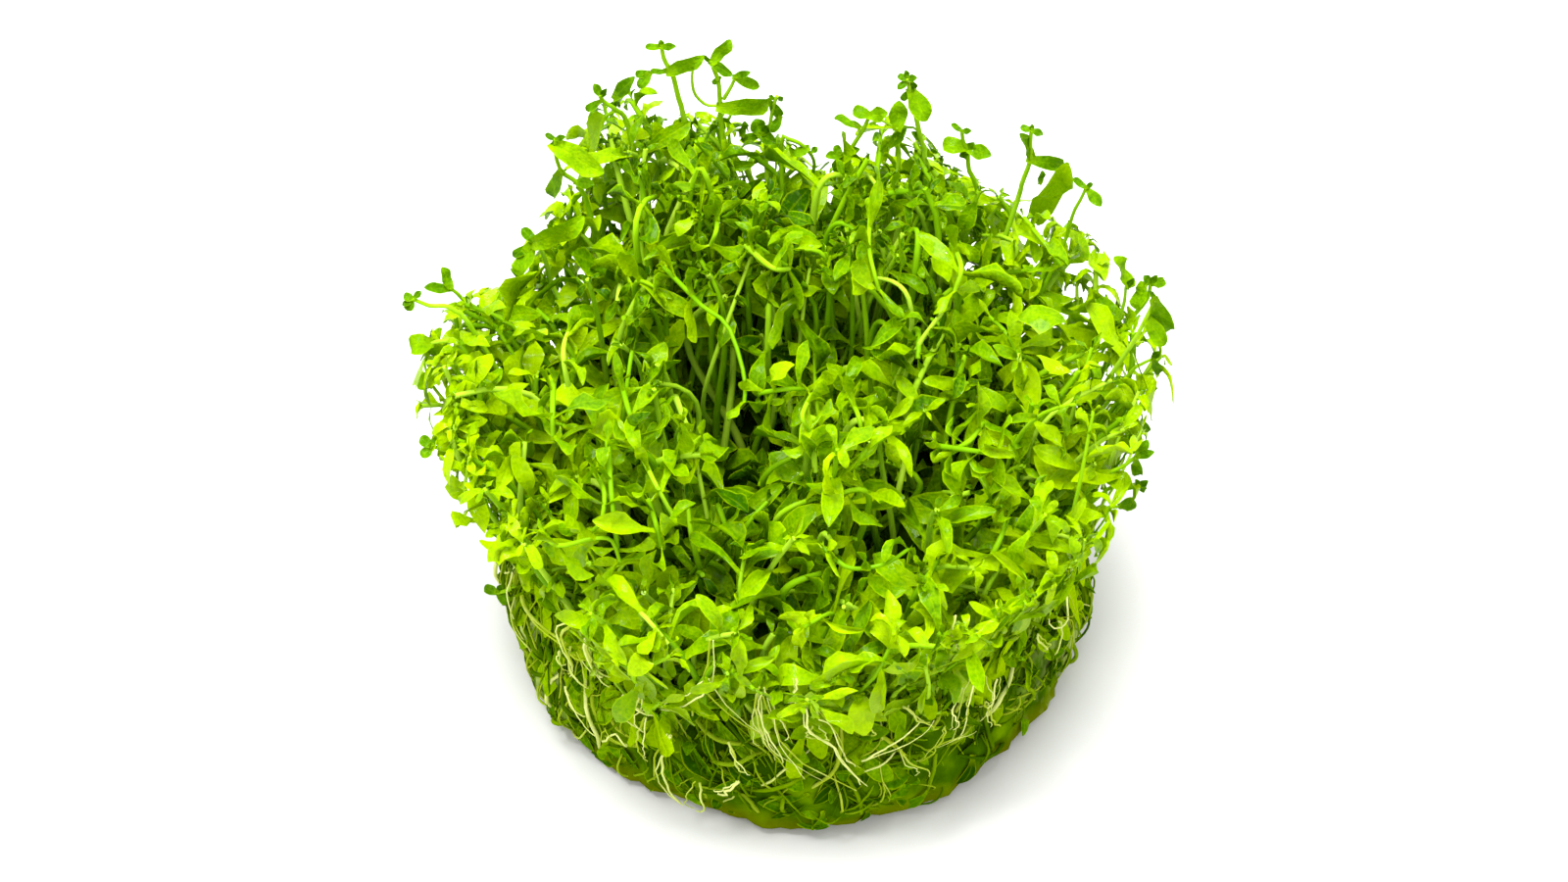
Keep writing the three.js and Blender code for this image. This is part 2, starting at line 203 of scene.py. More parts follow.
# Painted sheen: the wall's left and right, seen at a glancing angle, get whitish streaks that stand for
# the wet film's reflection as well as for pressed roots.
aside = add(wet_mat, "ShaderNodeMath", {0: parts.outputs["X"]}, operation="ABSOLUTE")
side_range = {"From Min": 22 * mm, "From Max": 29 * mm, "To Min": 0.0, "To Max": 1.0}
glancing_side = add(wet_mat, "ShaderNodeMapRange", {"Value": aside, **side_range})
drawn = add(wet_mat, "ShaderNodeMapping", {"Vector": place, "Scale": (1, 1, 0.3)})
streaks = add(wet_mat, "ShaderNodeTexNoise", {"Vector": drawn, "Scale": 1 / (1.8 * mm), "Detail": 4.0})
film_range = {"From Min": 0.42, "From Max": 0.62, "To Min": 0.0, "To Max": 0.8}
film = add(wet_mat, "ShaderNodeMapRange", {"Value": streaks, **film_range})
roots_and_sheen = add(wet_mat, "ShaderNodeMath", {0: film, 1: glancing_side}, operation="MULTIPLY")
root_and_sheen_white = linear("#a8bc5c")
filmed = add(wet_mat, "ShaderNodeMix", {0: roots_and_sheen, 6: toned, 7: root_and_sheen_white}, data_type="RGBA").outputs[2]
grain = add(wet_mat, "ShaderNodeTexNoise", {"Vector": place, "Scale": 1 / (0.9 * mm), "Detail": 4.0})
bumps = add(wet_mat, "ShaderNodeBump", {"Height": grain, "Strength": 0.6, "Distance": 0.25 * mm})
looks = {"Base Color": filmed, "Roughness": 0.35, "Specular IOR Level": 0.0, "Normal": bumps}
skin = add(wet_mat, "ShaderNodeBsdfPrincipled", looks)
wet_mat.node_tree.links.new(skin.outputs["BSDF"], surface.inputs["Surface"])
root_mat.data.materials.append(wet_mat)
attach(root_mat, "root")
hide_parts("root_mat")

# Leaves pressed against the cup: whole leaves of the lowest shoots, laid flat and overlapping on the
# mat's wall and glued to it by the wet film. Each is a closed blade with a keel along its midrib,
# modelled once on a unit length and then bent to its place.
# The blade from stalk to tip: the place along it and the half width, as shares of the whole.
LEAF_OUTLINE = [
    (0, 0.36), (0.12, 0.29), (0.26, 0.46), (0.42, 0.8), (0.56, 1),
    (0.7, 0.96), (0.82, 0.76), (0.93, 0.42), (1, 0.08),
]
LEAF_KEEL = 0.035  # depth of the midrib, a share of the length
PRESSED_LEAVES = 620
PRESSED_TO = 19 * mm  # the cup held the lowest leaves in as high as this
PRESSED_LENGTH = (3.2, 6.6)  # mm
PRESSED_HALF_WIDTH = 0.17  # a share of the length
GEL_SIDE = (5.1, 6.1)  # azimuths in radians between which the low wall is smooth gel with hardly a leaf
GEL_TO = 9 * mm
LEAVES_ON_GEL = 0.15  # the share of leaves that are left there
WAIST = [(11, 0), (20, -2), (26, -1.3)]  # height, and how far the wall draws in above the mat, in mm
WALL_SHAPE_TO = 10 * mm  # above this height the wall goes straight up


def leaf_master(name, outline):
    """A flat unit leaf along +X with its upper side up: half widths in shares of the widest."""
    steps = len(outline) - 1
    grid = bpy.ops.mesh.primitive_grid_add
    blade = primitive(name, grid, x_subdivisions=steps, y_subdivisions=2, size=1, location=(0.5, 0, 0))
    bpy.ops.object.transform_apply(location=True)
    away = 10  # finished rows wait this far off, so that none is taken for the next one
    for i, (along, half_width) in reversed(list(enumerate(outline))):
        row = i / steps
        select(blade, lambda co: abs(co.x - row) < 0.01)
        bpy.ops.transform.resize(value=(1, 2 * half_width, 1), center_override=(row, 0, 0))
        bpy.ops.transform.translate(value=(along - row + away * (along > 0), 0, 0))
    select(blade, lambda co: co.x > away / 2)
    bpy.ops.transform.translate(value=(-away, 0, 0))
    bpy.ops.mesh.select_all(action="SELECT")
    bpy.ops.mesh.extrude_region_move(TRANSFORM_OT_translate={"value": (0, 0, -LEAF_KEEL)})
    inner = lambda co: abs(co.y) < 0.01 and 0.01 < co.x < 0.99
    select(blade, lambda co: co.z < -LEAF_KEEL / 2 and not inner(co))
    bpy.ops.transform.translate(value=(0, 0, LEAF_KEEL))
    bpy.ops.mesh.select_all(action="SELECT")
    bpy.ops.mesh.remove_doubles(threshold=0.001)
    bpy.ops.mesh.normals_make_consistent(inside=False)
    bpy.ops.object.mode_set(mode="OBJECT")
    bpy.ops.object.shade_smooth_by_angle(angle=SHARP_FROM)
    return blade


def shape_of(master, unwrap):
    """A master's mesh as arrays, with a UV for each corner from its place. The master itself goes."""
    mesh = master.data
    read = lambda items, name, size, kind: np.array([getattr(i, name) for i in items], kind).reshape(size)
    co = read(mesh.vertices, "co", (-1, 3), float)
    corners = read(mesh.loops, "vertex_index", -1, int)
    shape = {
        "co": co,
        "corners": corners,
        "corner_edges": read(mesh.loops, "edge_index", -1, int),
        "starts": read(mesh.polygons, "loop_start", -1, int),
        "edges": read(mesh.edges, "vertices", (-1, 2), int),
        "sharp": read(mesh.edges, "use_edge_sharp", -1, bool),
        "uv": unwrap(co)[corners],
    }
    bpy.data.objects.remove(master)
    return shape


def joined(name, batches, finishes):
    """One mesh of many copies. A batch is a master's shape, its copies' points (copies x vertices x 3),
    a shade from 0 to 1 for each copy, and the place of its finish in the list of finishes."""
    mesh = bpy.data.meshes.new(name)
    keys = ("co", "corners", "corner_edges", "starts", "edges", "sharp", "uv", "shade", "slot")
    lists = {key: [] for key in keys}
    done = {"co": 0, "corners": 0, "edges": 0}
    for shape, points, shades, slot in batches:
        copies = np.arange(len(points))[:, None]
        to_vertex = done["co"] + len(shape["co"]) * copies
        to_edge = done["edges"] + len(shape["edges"]) * copies
        to_corner = done["corners"] + len(shape["corners"]) * copies
        lists["co"].append(points.reshape(-1, 3))
        lists["corners"].append((shape["corners"] + to_vertex).ravel())
        lists["corner_edges"].append((shape["corner_edges"] + to_edge).ravel())
        lists["starts"].append((shape["starts"] + to_corner).ravel())
        lists["edges"].append((shape["edges"].ravel() + to_vertex).ravel())
        lists["sharp"].append(np.tile(shape["sharp"], len(points)))
        lists["uv"].append(np.tile(shape["uv"], (len(points), 1)).ravel())
        lists["shade"].append(np.repeat(shades, len(shape["co"])))
        lists["slot"].append(np.full(len(points) * len(shape["starts"]), slot))
        for key in done:
            done[key] += len(points) * len(shape[key])
    data = {key: np.concatenate(value) for key, value in lists.items()}
    mesh.vertices.add(done["co"])
    mesh.vertices.foreach_set("co", data["co"].ravel())
    mesh.edges.add(done["edges"])
    mesh.edges.foreach_set("vertices", data["edges"])
    mesh.loops.add(done["corners"])
    mesh.loops.foreach_set("vertex_index", data["corners"])
    mesh.loops.foreach_set("edge_index", data["corner_edges"])
    mesh.polygons.add(len(data["starts"]))
    mesh.polygons.foreach_set("loop_start", data["starts"])
    mesh.polygons.foreach_set("material_index", data["slot"])
    mesh.uv_layers.new(name="length_and_width").data.foreach_set("uv", data["uv"])
    mesh.attributes.new("shade", "FLOAT", "POINT").data.foreach_set("value", data["shade"])
    mesh.attributes.new("sharp_edge", "BOOLEAN", "EDGE").data.foreach_set("value", data["sharp"])
    mesh.update()
    for finish in finishes:
        mesh.materials.append(finish)
    piece = bpy.data.objects.new(name, mesh)
    bpy.context.scene.collection.objects.link(piece)
    return piece


def unwrap_leaf(co):
    """Across the blade from rim to rim over the rib, and along it from stalk to tip."""
    return np.column_stack([0.5 + 0.5 * np.sign(np.round(co[:, 1], 3)), co[:, 0]])


leaf = shape_of(leaf_master("leaf_master", LEAF_OUTLINE), unwrap_leaf)


def waist(z):
    """How far the wall draws in between the mat and the crown that the cup held."""
    heights, changes = zip(*WAIST)
    return np.interp(z / mm, heights, changes) * mm


def on_wall(flat, middle_azimuth, middle_z, turn, proud):
    """Points of flat copies (copies x vertices x 3) laid on the mat's wall, turned about their middle."""
    c, s = np.cos(turn)[:, None], np.sin(turn)[:, None]
    across = flat[..., 0] * c - flat[..., 1] * s
    up = flat[..., 0] * s + flat[..., 1] * c
    azimuth = middle_azimuth[:, None] + across / MAT_RADIUS
    z = middle_z[:, None] + up
    wall = wall_radius(azimuth, np.minimum(z, WALL_SHAPE_TO)) + waist(z)
    radius = wall + proud[:, None] + flat[..., 2]
    return np.stack([radius * np.cos(azimuth), radius * np.sin(azimuth), z], axis=-1)


dice = np.random.default_rng(11)
middle_azimuth = dice.uniform(0, 2 * math.pi, PRESSED_LEAVES)
middle_z = dice.uniform(1, PRESSED_TO / mm, PRESSED_LEAVES) * mm
on_gel = (GEL_SIDE[0] < middle_azimuth) & (middle_azimuth < GEL_SIDE[1]) & (middle_z < GEL_TO)
kept = ~on_gel | (dice.random(PRESSED_LEAVES) < LEAVES_ON_GEL)
middle_azimuth, middle_z, count = middle_azimuth[kept], middle_z[kept], kept.sum()
length = dice.uniform(*PRESSED_LENGTH, count) * mm
flat = (leaf["co"] * [1, PRESSED_HALF_WIDTH, 1] - [0.5, 0, 0])[None] * length[:, None, None]
# Each blade is waved along its length, and tilted a little along and across it.
flat[..., 2] += 0.25 * mm * np.sin(flat[..., 0] / (1.3 * mm) + dice.uniform(0, 6.3, count)[:, None])
flat[..., 2] += flat[..., 0] * dice.normal(0, 0.16, count)[:, None]
flat[..., 2] += flat[..., 1] * dice.normal(0, 0.4, count)[:, None]
turn = dice.normal(-0.5 * math.pi, 0.9, count)
lowest = 0.5 * length * np.abs(np.sin(turn)) + 0.5 * mm  # so that no tip reaches below the foot
pressed_points = on_wall(
    flat,
    middle_azimuth,
    np.maximum(middle_z, lowest),
    turn,
    dice.uniform(-0.5, 0.1, count) * mm,
)
# Painted light and shade: leaves are painted lighter with their height, darker towards the foot, where the
# crown shades the wall, and lighter on the wall's left side, where the light comes from.
pressed_shades = dice.uniform(-0.1, 0.5, count) + 0.2 * np.clip(middle_z / PRESSED_TO, 0, 1)
pressed_shades = np.clip(pressed_shades + 0.9 * np.clip(-np.cos(middle_azimuth) - 0.5, 0, 0.5), 0, 1)


def leaf_finish(name, stops, glow, share_through, gloss, wetness):
    """A living leaf: mottled by its cells, paler at rib and foot, painted with the glow of light through
    its thin rim, and lit through from behind. The stops run from shaded to lit, and the glow is the colour
    of the light that comes through."""
    material, surface = new_material(name)
    place = add(material, "ShaderNodeTexCoord", {})
    spot = place.outputs["Object"]
    shade = add(material, "ShaderNodeAttribute", {}, attribute_name="shade").outputs["Fac"]
    cells = add(material, "ShaderNodeTexNoise", {"Vector": spot, "Scale": 1 / (0.9 * mm), "Detail": 3.0})
    net = add(material, "ShaderNodeTexNoise", {"Vector": spot, "Scale": 1 / (0.32 * mm), "Detail": 2.0})
    both_noises = add(material, "ShaderNodeMath", {0: cells, 1: net}, operation="ADD")
    mottled = add(material, "ShaderNodeMath", {0: both_noises, 1: 0.6, 2: -0.6}, operation="MULTIPLY_ADD")
    tone = add(material, "ShaderNodeMath", {0: shade, 1: mottled}, operation="ADD")
    blade = add(material, "ShaderNodeValToRGB", {"Fac": tone}, stops=stops)
    on_blade = add(material, "ShaderNodeSeparateXYZ", {"Vector": place.outputs["UV"]})
    from_rib = add(material, "ShaderNodeMath", {0: on_blade.outputs["X"], 1: 0.5}, operation="SUBTRACT")
    aside = add(material, "ShaderNodeMath", {0: from_rib}, operation="ABSOLUTE")
    rib_range = {"From Min": 0.0, "From Max": 0.07, "To Min": 0.2, "To Max": 0.0}
    rib = add(material, "ShaderNodeMapRange", {"Value": aside, **rib_range})
    # Painted light: the thin rim is mixed towards the glow colour, as if light shone through it.
    rim_range = {"From Min": 0.41, "From Max": 0.5, "To Min": 0.0, "To Max": 0.6}
    rim = add(material, "ShaderNodeMapRange", {"Value": aside, **rim_range})
    foot_range = {"From Min": 0.0, "From Max": 0.3, "To Min": 0.4, "To Max": 0.0}
    foot = add(material, "ShaderNodeMapRange", {"Value": on_blade.outputs["Y"], **foot_range})
    edges = add(material, "ShaderNodeMath", {0: rib, 1: rim}, operation="ADD")
    pale = add(material, "ShaderNodeMath", {0: edges, 1: foot}, operation="MAXIMUM")
    glowing = {0: pale, 6: blade, 7: linear(glow)}
    blade_with_glow = add(material, "ShaderNodeMix", glowing, data_type="RGBA").outputs[2]
    relief = add(material, "ShaderNodeMath", {0: both_noises, 1: rib}, operation="SUBTRACT")
    bumps = add(material, "ShaderNodeBump", {"Height": relief, "Strength": 0.8, "Distance": 0.16 * mm})
    looks = {
        "Base Color": blade_with_glow,
        "Roughness": 0.42,
        "Specular IOR Level": gloss,
        "Specular Tint": linear("#c0f000"),
        "Coat Weight": wetness,
        "Coat Roughness": 0.06,
        "Coat IOR": 1.33,
        "Normal": bumps,
    }
    top = add(material, "ShaderNodeBsdfPrincipled", looks)
    lit = add(material, "ShaderNodeMix", {0: 0.5, 6: blade_with_glow, 7: linear(glow)}, data_type="RGBA").outputs[2]
    through = add(material, "ShaderNodeBsdfTranslucent", {"Color": lit})
    both = add(material, "ShaderNodeMixShader", {0: share_through, 1: top, 2: through})
    material.node_tree.links.new(both.outputs["Shader"], surface.inputs["Surface"])
    return material


# Leaves under the gel film, from bottle green to olive yellow: darker than those above, partly as older,
# duller leaves and partly as painted shade under the crown.
pressed_finish = leaf_finish(
    "pressed_leaf",
    [(0.05, "#204400"), (0.4, "#4a7a00"), (0.75, "#80aa04"), (1.0, "#b0c414")],
    glow="#a8c400",
    share_through=0.25,
    gloss=0.0,
    wetness=0.0,
)
pressed = joined("pressed_leaves", [(leaf, pressed_points, pressed_shades, 0)], [pressed_finish])
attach(pressed, "root")

# Stems and roots pressed against the cup: pale strands that run down and across the wall, each a round
# thread bent along its route. The thickest are stem bases, the thin ones are roots.
PRESSED_STRANDS = 700
STRAND_LENGTH = (4, 13)  # mm
STRAND_ARCH = (0.3, 1.8)  # mm that a strand's middle stands out from its ends
STEM_BASES = 0.2  # the share of the strands that are stem bases
STEM_BASE_RADIUS = 0.24  # mm
ROOT_RADIUS = (0.07, 0.14)  # mm
STRAND_STATIONS = 12


def tube_master(name, sides, stations):
    """A straight unit tube along +Z, closed at both ends, with a ring of corners at every station."""
    circle = bpy.ops.mesh.primitive_circle_add
    tube = primitive(name, circle, vertices=sides, radius=1, fill_type="TRIFAN")
    bpy.ops.object.mode_set(mode="EDIT")
    for _ in range(stations - 1):
        bpy.ops.mesh.extrude_region_move(TRANSFORM_OT_translate={"value": (0, 0, 1 / (stations - 1))})
    bpy.ops.mesh.select_all(action="SELECT")
    bpy.ops.mesh.normals_make_consistent(inside=False)
    bpy.ops.object.mode_set(mode="OBJECT")
    bpy.ops.object.shade_smooth_by_angle(angle=math.radians(75))
    return tube


def unwrap_tube(co):
    """Round the tube and along it."""
    return np.column_stack([np.arctan2(co[:, 1], co[:, 0]) / (2 * math.pi) + 0.5, co[:, 2]])


def unit(vectors):
    """The vectors' directions, one unit long."""
    return vectors / np.maximum(np.linalg.norm(vectors, axis=-1, keepdims=True), 1e-12)


def along_routes(shape, routes, radii):
    """Points of straight tubes bent along their routes (copies x stations x 3), with radii to match."""
    stations = routes.shape[1]
    heading = unit(np.gradient(routes, axis=1))
    side = np.empty_like(heading)
    turned = unit(np.cross(heading[:, 0], [0.3, 0.2, 1]) + 1e-6)
    for k in range(stations):
        turned = unit(turned - np.sum(turned * heading[:, k], axis=-1, keepdims=True) * heading[:, k])
        side[:, k] = turned
    other = np.cross(heading, side)
    ring = np.rint(shape["co"][:, 2] * (stations - 1)).astype(int)
    x, y = shape["co"][:, 0][None, :, None], shape["co"][:, 1][None, :, None]
    return routes[:, ring] + radii[:, ring, None] * (x * side[:, ring] + y * other[:, ring])


def wander(dice, count, step):
    """The sideways drift in mm of strands that change their course a little from station to station."""
    course = np.cumsum(dice.normal(0, step, (count, STRAND_STATIONS)), axis=1)
    return np.cumsum(course - course.mean(axis=1, keepdims=True), axis=1) * 0.5 * mm


strand = shape_of(tube_master("strand_master", 5, STRAND_STATIONS), unwrap_tube)
dice = np.random.default_rng(12)
t = np.linspace(0, 1, STRAND_STATIONS)[None]
strand_length = dice.uniform(*STRAND_LENGTH, PRESSED_STRANDS)[:, None] * mm
slant = dice.normal(math.pi / 2, 0.6, PRESSED_STRANDS)[:, None]
way = strand_length * (t - 0.5)
arch = dice.uniform(*STRAND_ARCH, PRESSED_STRANDS)[:, None] * (np.sin(math.pi * t) - 0.5) * mm
flat = np.stack([way, wander(dice, PRESSED_STRANDS, 0.26), arch], -1)
middle_z = dice.uniform(2, 20, PRESSED_STRANDS) * mm
lowest = 0.5 * strand_length[:, 0] * np.abs(np.sin(slant[:, 0])) + 1.4 * mm
strand_routes = on_wall(
    flat,
    dice.uniform(0, 2 * math.pi, PRESSED_STRANDS),
    np.maximum(middle_z, lowest),
    slant[:, 0],
    dice.uniform(-0.2, 0.2, PRESSED_STRANDS) * mm,
)
thick = dice.random(PRESSED_STRANDS) < STEM_BASES
strand_radius = np.where(thick, STEM_BASE_RADIUS, dice.uniform(*ROOT_RADIUS, PRESSED_STRANDS)) * mm
strand_radii = strand_radius[:, None] * (0.75 + 0.25 * np.sin(math.pi * t) ** 0.5)
strand_points = along_routes(strand, strand_routes, strand_radii)


def thread_finish(name, stops, share_through, rough, wetness):
    """A juicy stem or root: nearly even along its length, and clear enough to pass light."""
    material, surface = new_material(name)
    spot = add(material, "ShaderNodeTexCoord", {}).outputs["Object"]
    shade = add(material, "ShaderNodeAttribute", {}, attribute_name="shade").outputs["Fac"]
    streaks = add(material, "ShaderNodeTexNoise", {"Vector": spot, "Scale": 1 / (2.4 * mm), "Detail": 2.0})
    shift = add(material, "ShaderNodeMath", {0: streaks, 1: 0.4, 2: -0.2}, operation="MULTIPLY_ADD")
    tone = add(material, "ShaderNodeMath", {0: shade, 1: shift}, operation="ADD")
    colour = add(material, "ShaderNodeValToRGB", {"Fac": tone}, stops=stops)
    bumps = add(material, "ShaderNodeBump", {"Height": streaks, "Strength": 0.3, "Distance": 0.1 * mm})
    looks = {
        "Base Color": colour,
        "Roughness": rough,
        "Specular IOR Level": 0.0,
        "Coat Weight": wetness,
        "Coat Roughness": 0.12,
        "Coat IOR": 1.33,
        "Normal": bumps,
    }
    solid = add(material, "ShaderNodeBsdfPrincipled", looks)
    through = add(material, "ShaderNodeBsdfTranslucent", {"Color": colour})
    both = add(material, "ShaderNodeMixShader", {0: share_through, 1: solid, 2: through})
    material.node_tree.links.new(both.outputs["Shader"], surface.inputs["Surface"])
    return material


# Roots and blanched stem bases: cream to straw where they are bare, olive where the green leaves round
# them shine through.
root_finish = thread_finish(
    "pale_root",
    [(0.05, "#3e6200"), (0.4, "#769a00"), (0.7, "#b0c42c"), (1.0, "#f2f6a4")],
    share_through=0.35,
    rough=0.35,
    wetness=0.0,
)
strands = joined(
    "pressed_stems_and_roots",
    [(strand, strand_points, dice.beta(1.5, 2.8, PRESSED_STRANDS), 0)],
    [root_finish],
)
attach(strands, "root")

# Tufts: packed stems that rise from the mat and open into the crown, with leaves in opposite pairs that
# turn a quarter from one pair to the next and grow smaller towards the tip. Each tuft of the CAD model
# becomes one joined mesh, and its stems end at or under that tuft's skin.
STEM_STATIONS = 14
TIP_SPACING = 5.4 * mm  # between the shoots that reach the crown's skin
UNDER_SPACING = 5 * mm  # between those that end below it
CREST_SPACING = 3 * mm  # between the young shoots that crowd the humps
CREST_FROM = 43 * mm  # the height above which they stand
SPRAWLING = 0.45  # the share of stems whose upper part lies over and arches along the crown
BARE = 0.12  # the share of those that have leaves only at the tip
# The gaps where one looks down between the stems: x, y and radius of their mouths in mm.
PITS = [
    (-6, -7, 5.6), (-5.5, -14, 3.2), (7, 5, 4), (-16.5, -20.5, 3.4), (8.5, -22, 3.2),
    (16.5, -12.5, 4), (-11, 0, 3.6), (11.5, -16.5, 3), (-19, -3.5, 2.6),
]
PIT_LEAN = 0.75  # how far a gap leads back for each mm of depth
PIT_DEPTH = 20  # mm
PIT_TOP = 46 * mm  # the crown's height there, from which the skin at a gap's mouth is found
PIT_STEMS = 0.4  # a stem goes when more than this share of its leaves would stand in the gaps
CROWN_HEART = Vector((0, 2 * mm, 17 * mm))  # stems fan out from here
RAYS = 30000
RAY_AIMS = (26, 15, 44)  # mm: how far from the axis, and between which heights, the rays aim
# The inside of the cup that the crown grew in: height and radius in mm.
CUP_WALL = [
    (0, 31), (12, 31), (16, 29.6), (20, 29), (24, 29.9),
    (28, 31.9), (32, 34), (37, 35.8), (43, 36.6), (48, 36),
]
SIDE_SHOOTS = 200  # young shoots pressed flat against the cup's wall, all round
LOBE_SHOOTS = 90  # and those that make the crown's left side thick
LOBE = (150, 212)  # azimuths in degrees between which they stand
SIDE_FROM = 15.5 * mm  # the lowest of them all end this high up
CUP_TILT = 1.2  # how far in mm the crown leans to the left, from halfway up
CUP_YIELD = ([22, 32], [0.15, 0.45])  # heights in mm, and the share by which leaves pass the cup's wall
FRONT_YIELD = 0.5  # the least share in front, where none have been pressed down
RIM_YIELD = 0.3  # the share by which leaves stand out over the rim

# The rim isn't level: its height in mm by azimuth in degrees. The crown rises inwards from it.
RIM = [
    (0, 46), (7, 47), (17, 38), (25, 42), (34, 41), (46, 38), (55, 36.5), (63, 38), (69, 41.5),
    (74, 43.5), (78, 41.5), (82, 36.5), (87, 32), (95, 39), (100, 42), (111, 44), (117, 50), (123, 52),
    (130, 52), (134, 40), (147, 36), (150, 33), (159, 38), (170, 45), (185, 46), (200, 41), (230, 37),
    (310, 37), (340, 40), (360, 46),
]
RIM_RADIUS = 33  # mm
RIM_SLOPE = 1.1  # mm that it rises for each mm inwards

tuft_names = sorted(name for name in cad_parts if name.startswith("tuft_"))
corners, faces, owners = [], [], []
for name in tuft_names:
    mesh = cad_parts[name].data
    first = len(corners)
    corners += [v.co.copy() for v in mesh.vertices]
    faces += [[first + i for i in face.vertices] for face in mesh.polygons]
    owners += [name] * len(mesh.polygons)
crown_skin = BVHTree.FromPolygons(corners, faces)


def seen_points(count, seed):
    """Points on the tufts' skin where a ray from outside first meets it, with the tuft that it is on."""
    dice = np.random.default_rng(seed)
    azimuth = dice.uniform(0, 2 * math.pi, count)
    sine = dice.uniform(-0.25, 1, count)  # of the ray's angle to the ground
    reach = RAY_AIMS[0] * mm * np.sqrt(dice.random(count))
    around = dice.uniform(0, 2 * math.pi, count)
    height = dice.uniform(*RAY_AIMS[1:], count) * mm
    aim = np.column_stack([reach * np.cos(around), reach * np.sin(around), height])
    cosine = np.sqrt(1 - sine**2)
    outwards = np.column_stack([cosine * np.cos(azimuth), cosine * np.sin(azimuth), sine])
    found = []
    for target, way in zip(aim, outwards):
        hit, _, face, _ = crown_skin.ray_cast(Vector(target + way * 150 * mm), Vector(-way))
        if hit:
            found.append((hit, owners[face]))
    return found


def cells_round(spot):
    """The cell of a unit grid that a spot is in, and the 26 cells round it."""
    a, b, c = (math.floor(x) for x in spot)
    steps = (0, -1, 1)
    return [(a + i, b + j, c + k) for i in steps for j in steps for k in steps]


def spread_out(found, spacing):
    """The points that are left when none may stand closer than the spacing to one before it."""
    kept, cells = [], {}
    for hit, owner in found:
        here = cells_round([x / spacing for x in hit])
        near = [other for cell in here for other in cells.get(cell, [])]
        if all((hit - other).length > spacing for other in near):
            cells.setdefault(here[0], []).append(hit)
            kept.append((hit, owner))
    return kept


def hermite(start, end, leave, arrive, stations):
    """Routes (copies x stations x 3) from start to end, with the given speeds at the two ends."""
    t = np.linspace(0, 1, stations)[None, :, None]
    start, end, leave, arrive = (v[:, None] for v in (start, end, leave, arrive))
    return (
        start * (2 * t**3 - 3 * t**2 + 1)
        + leave * (t**3 - 2 * t**2 + t)
        + end * (3 * t**2 - 2 * t**3)
        + arrive * (t**3 - t**2)
    )


def crown_height(points):
    """How high the crown may reach over each point."""
    azimuths, heights = zip(*RIM)
    azimuth = np.degrees(np.arctan2(points[..., 1], points[..., 0])) % 360
    radius = np.hypot(points[..., 0], points[..., 1]) / mm
    return (np.interp(azimuth, azimuths, heights) + RIM_SLOPE * (RIM_RADIUS - radius)) * mm


def inside_cup(points):
    """The points, with what reached past the cup's wall or over the rim pressed back towards them."""
    radius = np.maximum(np.hypot(points[..., 0], points[..., 1]), 1e-9)
    top = crown_height(points)
    z = np.minimum(points[..., 2], top + RIM_YIELD * (points[..., 2] - top))
    heights, radii = zip(*CUP_WALL)
    halfway_up = np.clip(z / mm / 14 - 1.3, 0, 1)  # from 18 mm, in full from 32 mm
    tilt = CUP_TILT * halfway_up * points[..., 0] / radius
    wall = (np.interp(z / mm, heights, radii) - tilt) * mm
    over_mat = np.clip(z / mm / 6 - 2, 0, 1)  # from 12 mm, in full from 18 mm
    front = np.clip(-4 * points[..., 1] / radius - 2.4, 0, 1) * over_mat  # in full within 32 degrees
    give = np.maximum(np.interp(z / mm, *CUP_YIELD), FRONT_YIELD * front)
    pressed = np.where(radius > wall, wall + give * (radius - wall), radius)
    return np.stack([points[..., 0] * pressed / radius, points[..., 1] * pressed / radius, z], -1)


LONGEST = 8.6  # mm that a leaf grows to
LEAF_HALF_WIDTH = (0.145, 0.22)  # shares of its length
HOOKED = 0.16  # the share of leaves that curl right over
LEAST_LEAVES = 4  # a stem left with fewer goes
TIP_GREEN = [0.34, 0.26, 0.12]  # how much darker the youngest pairs are
# Leaf pairs from the tip down: distance to the next pair and length in mm, and how many degrees the pair
# is raised.
PAIRS = [
    (0.6, 1.7, 66), (1.5, 3.2, 44), (3.2, 5.2, 28), (4.8, 6.8, 20),
    (5.8, 7.8, 14), (5.8, 7.6, 8), (5.4, 7.0, 2), (5.0, 6.4, 0),
]


def in_pit(leaves):
    """Which leaves have their middle in one of the gaps, which lean back as the stems beside them do."""
    rows = np.array(leaves)
    middle = (rows[:, 0:3] + 0.6 * rows[:, 9:10] * rows[:, 3:6]) / mm
    inside = np.zeros(len(rows), bool)
    for x, y, radius in PITS:
        skin = crown_skin.find_nearest(Vector((x * mm, y * mm, PIT_TOP)))[0]
        down = skin.z / mm - middle[:, 2]
        off = np.hypot(middle[:, 0] - x, middle[:, 1] - y - PIT_LEAN * down)
        inside |= (off < radius) & (down < PIT_DEPTH)
    return inside


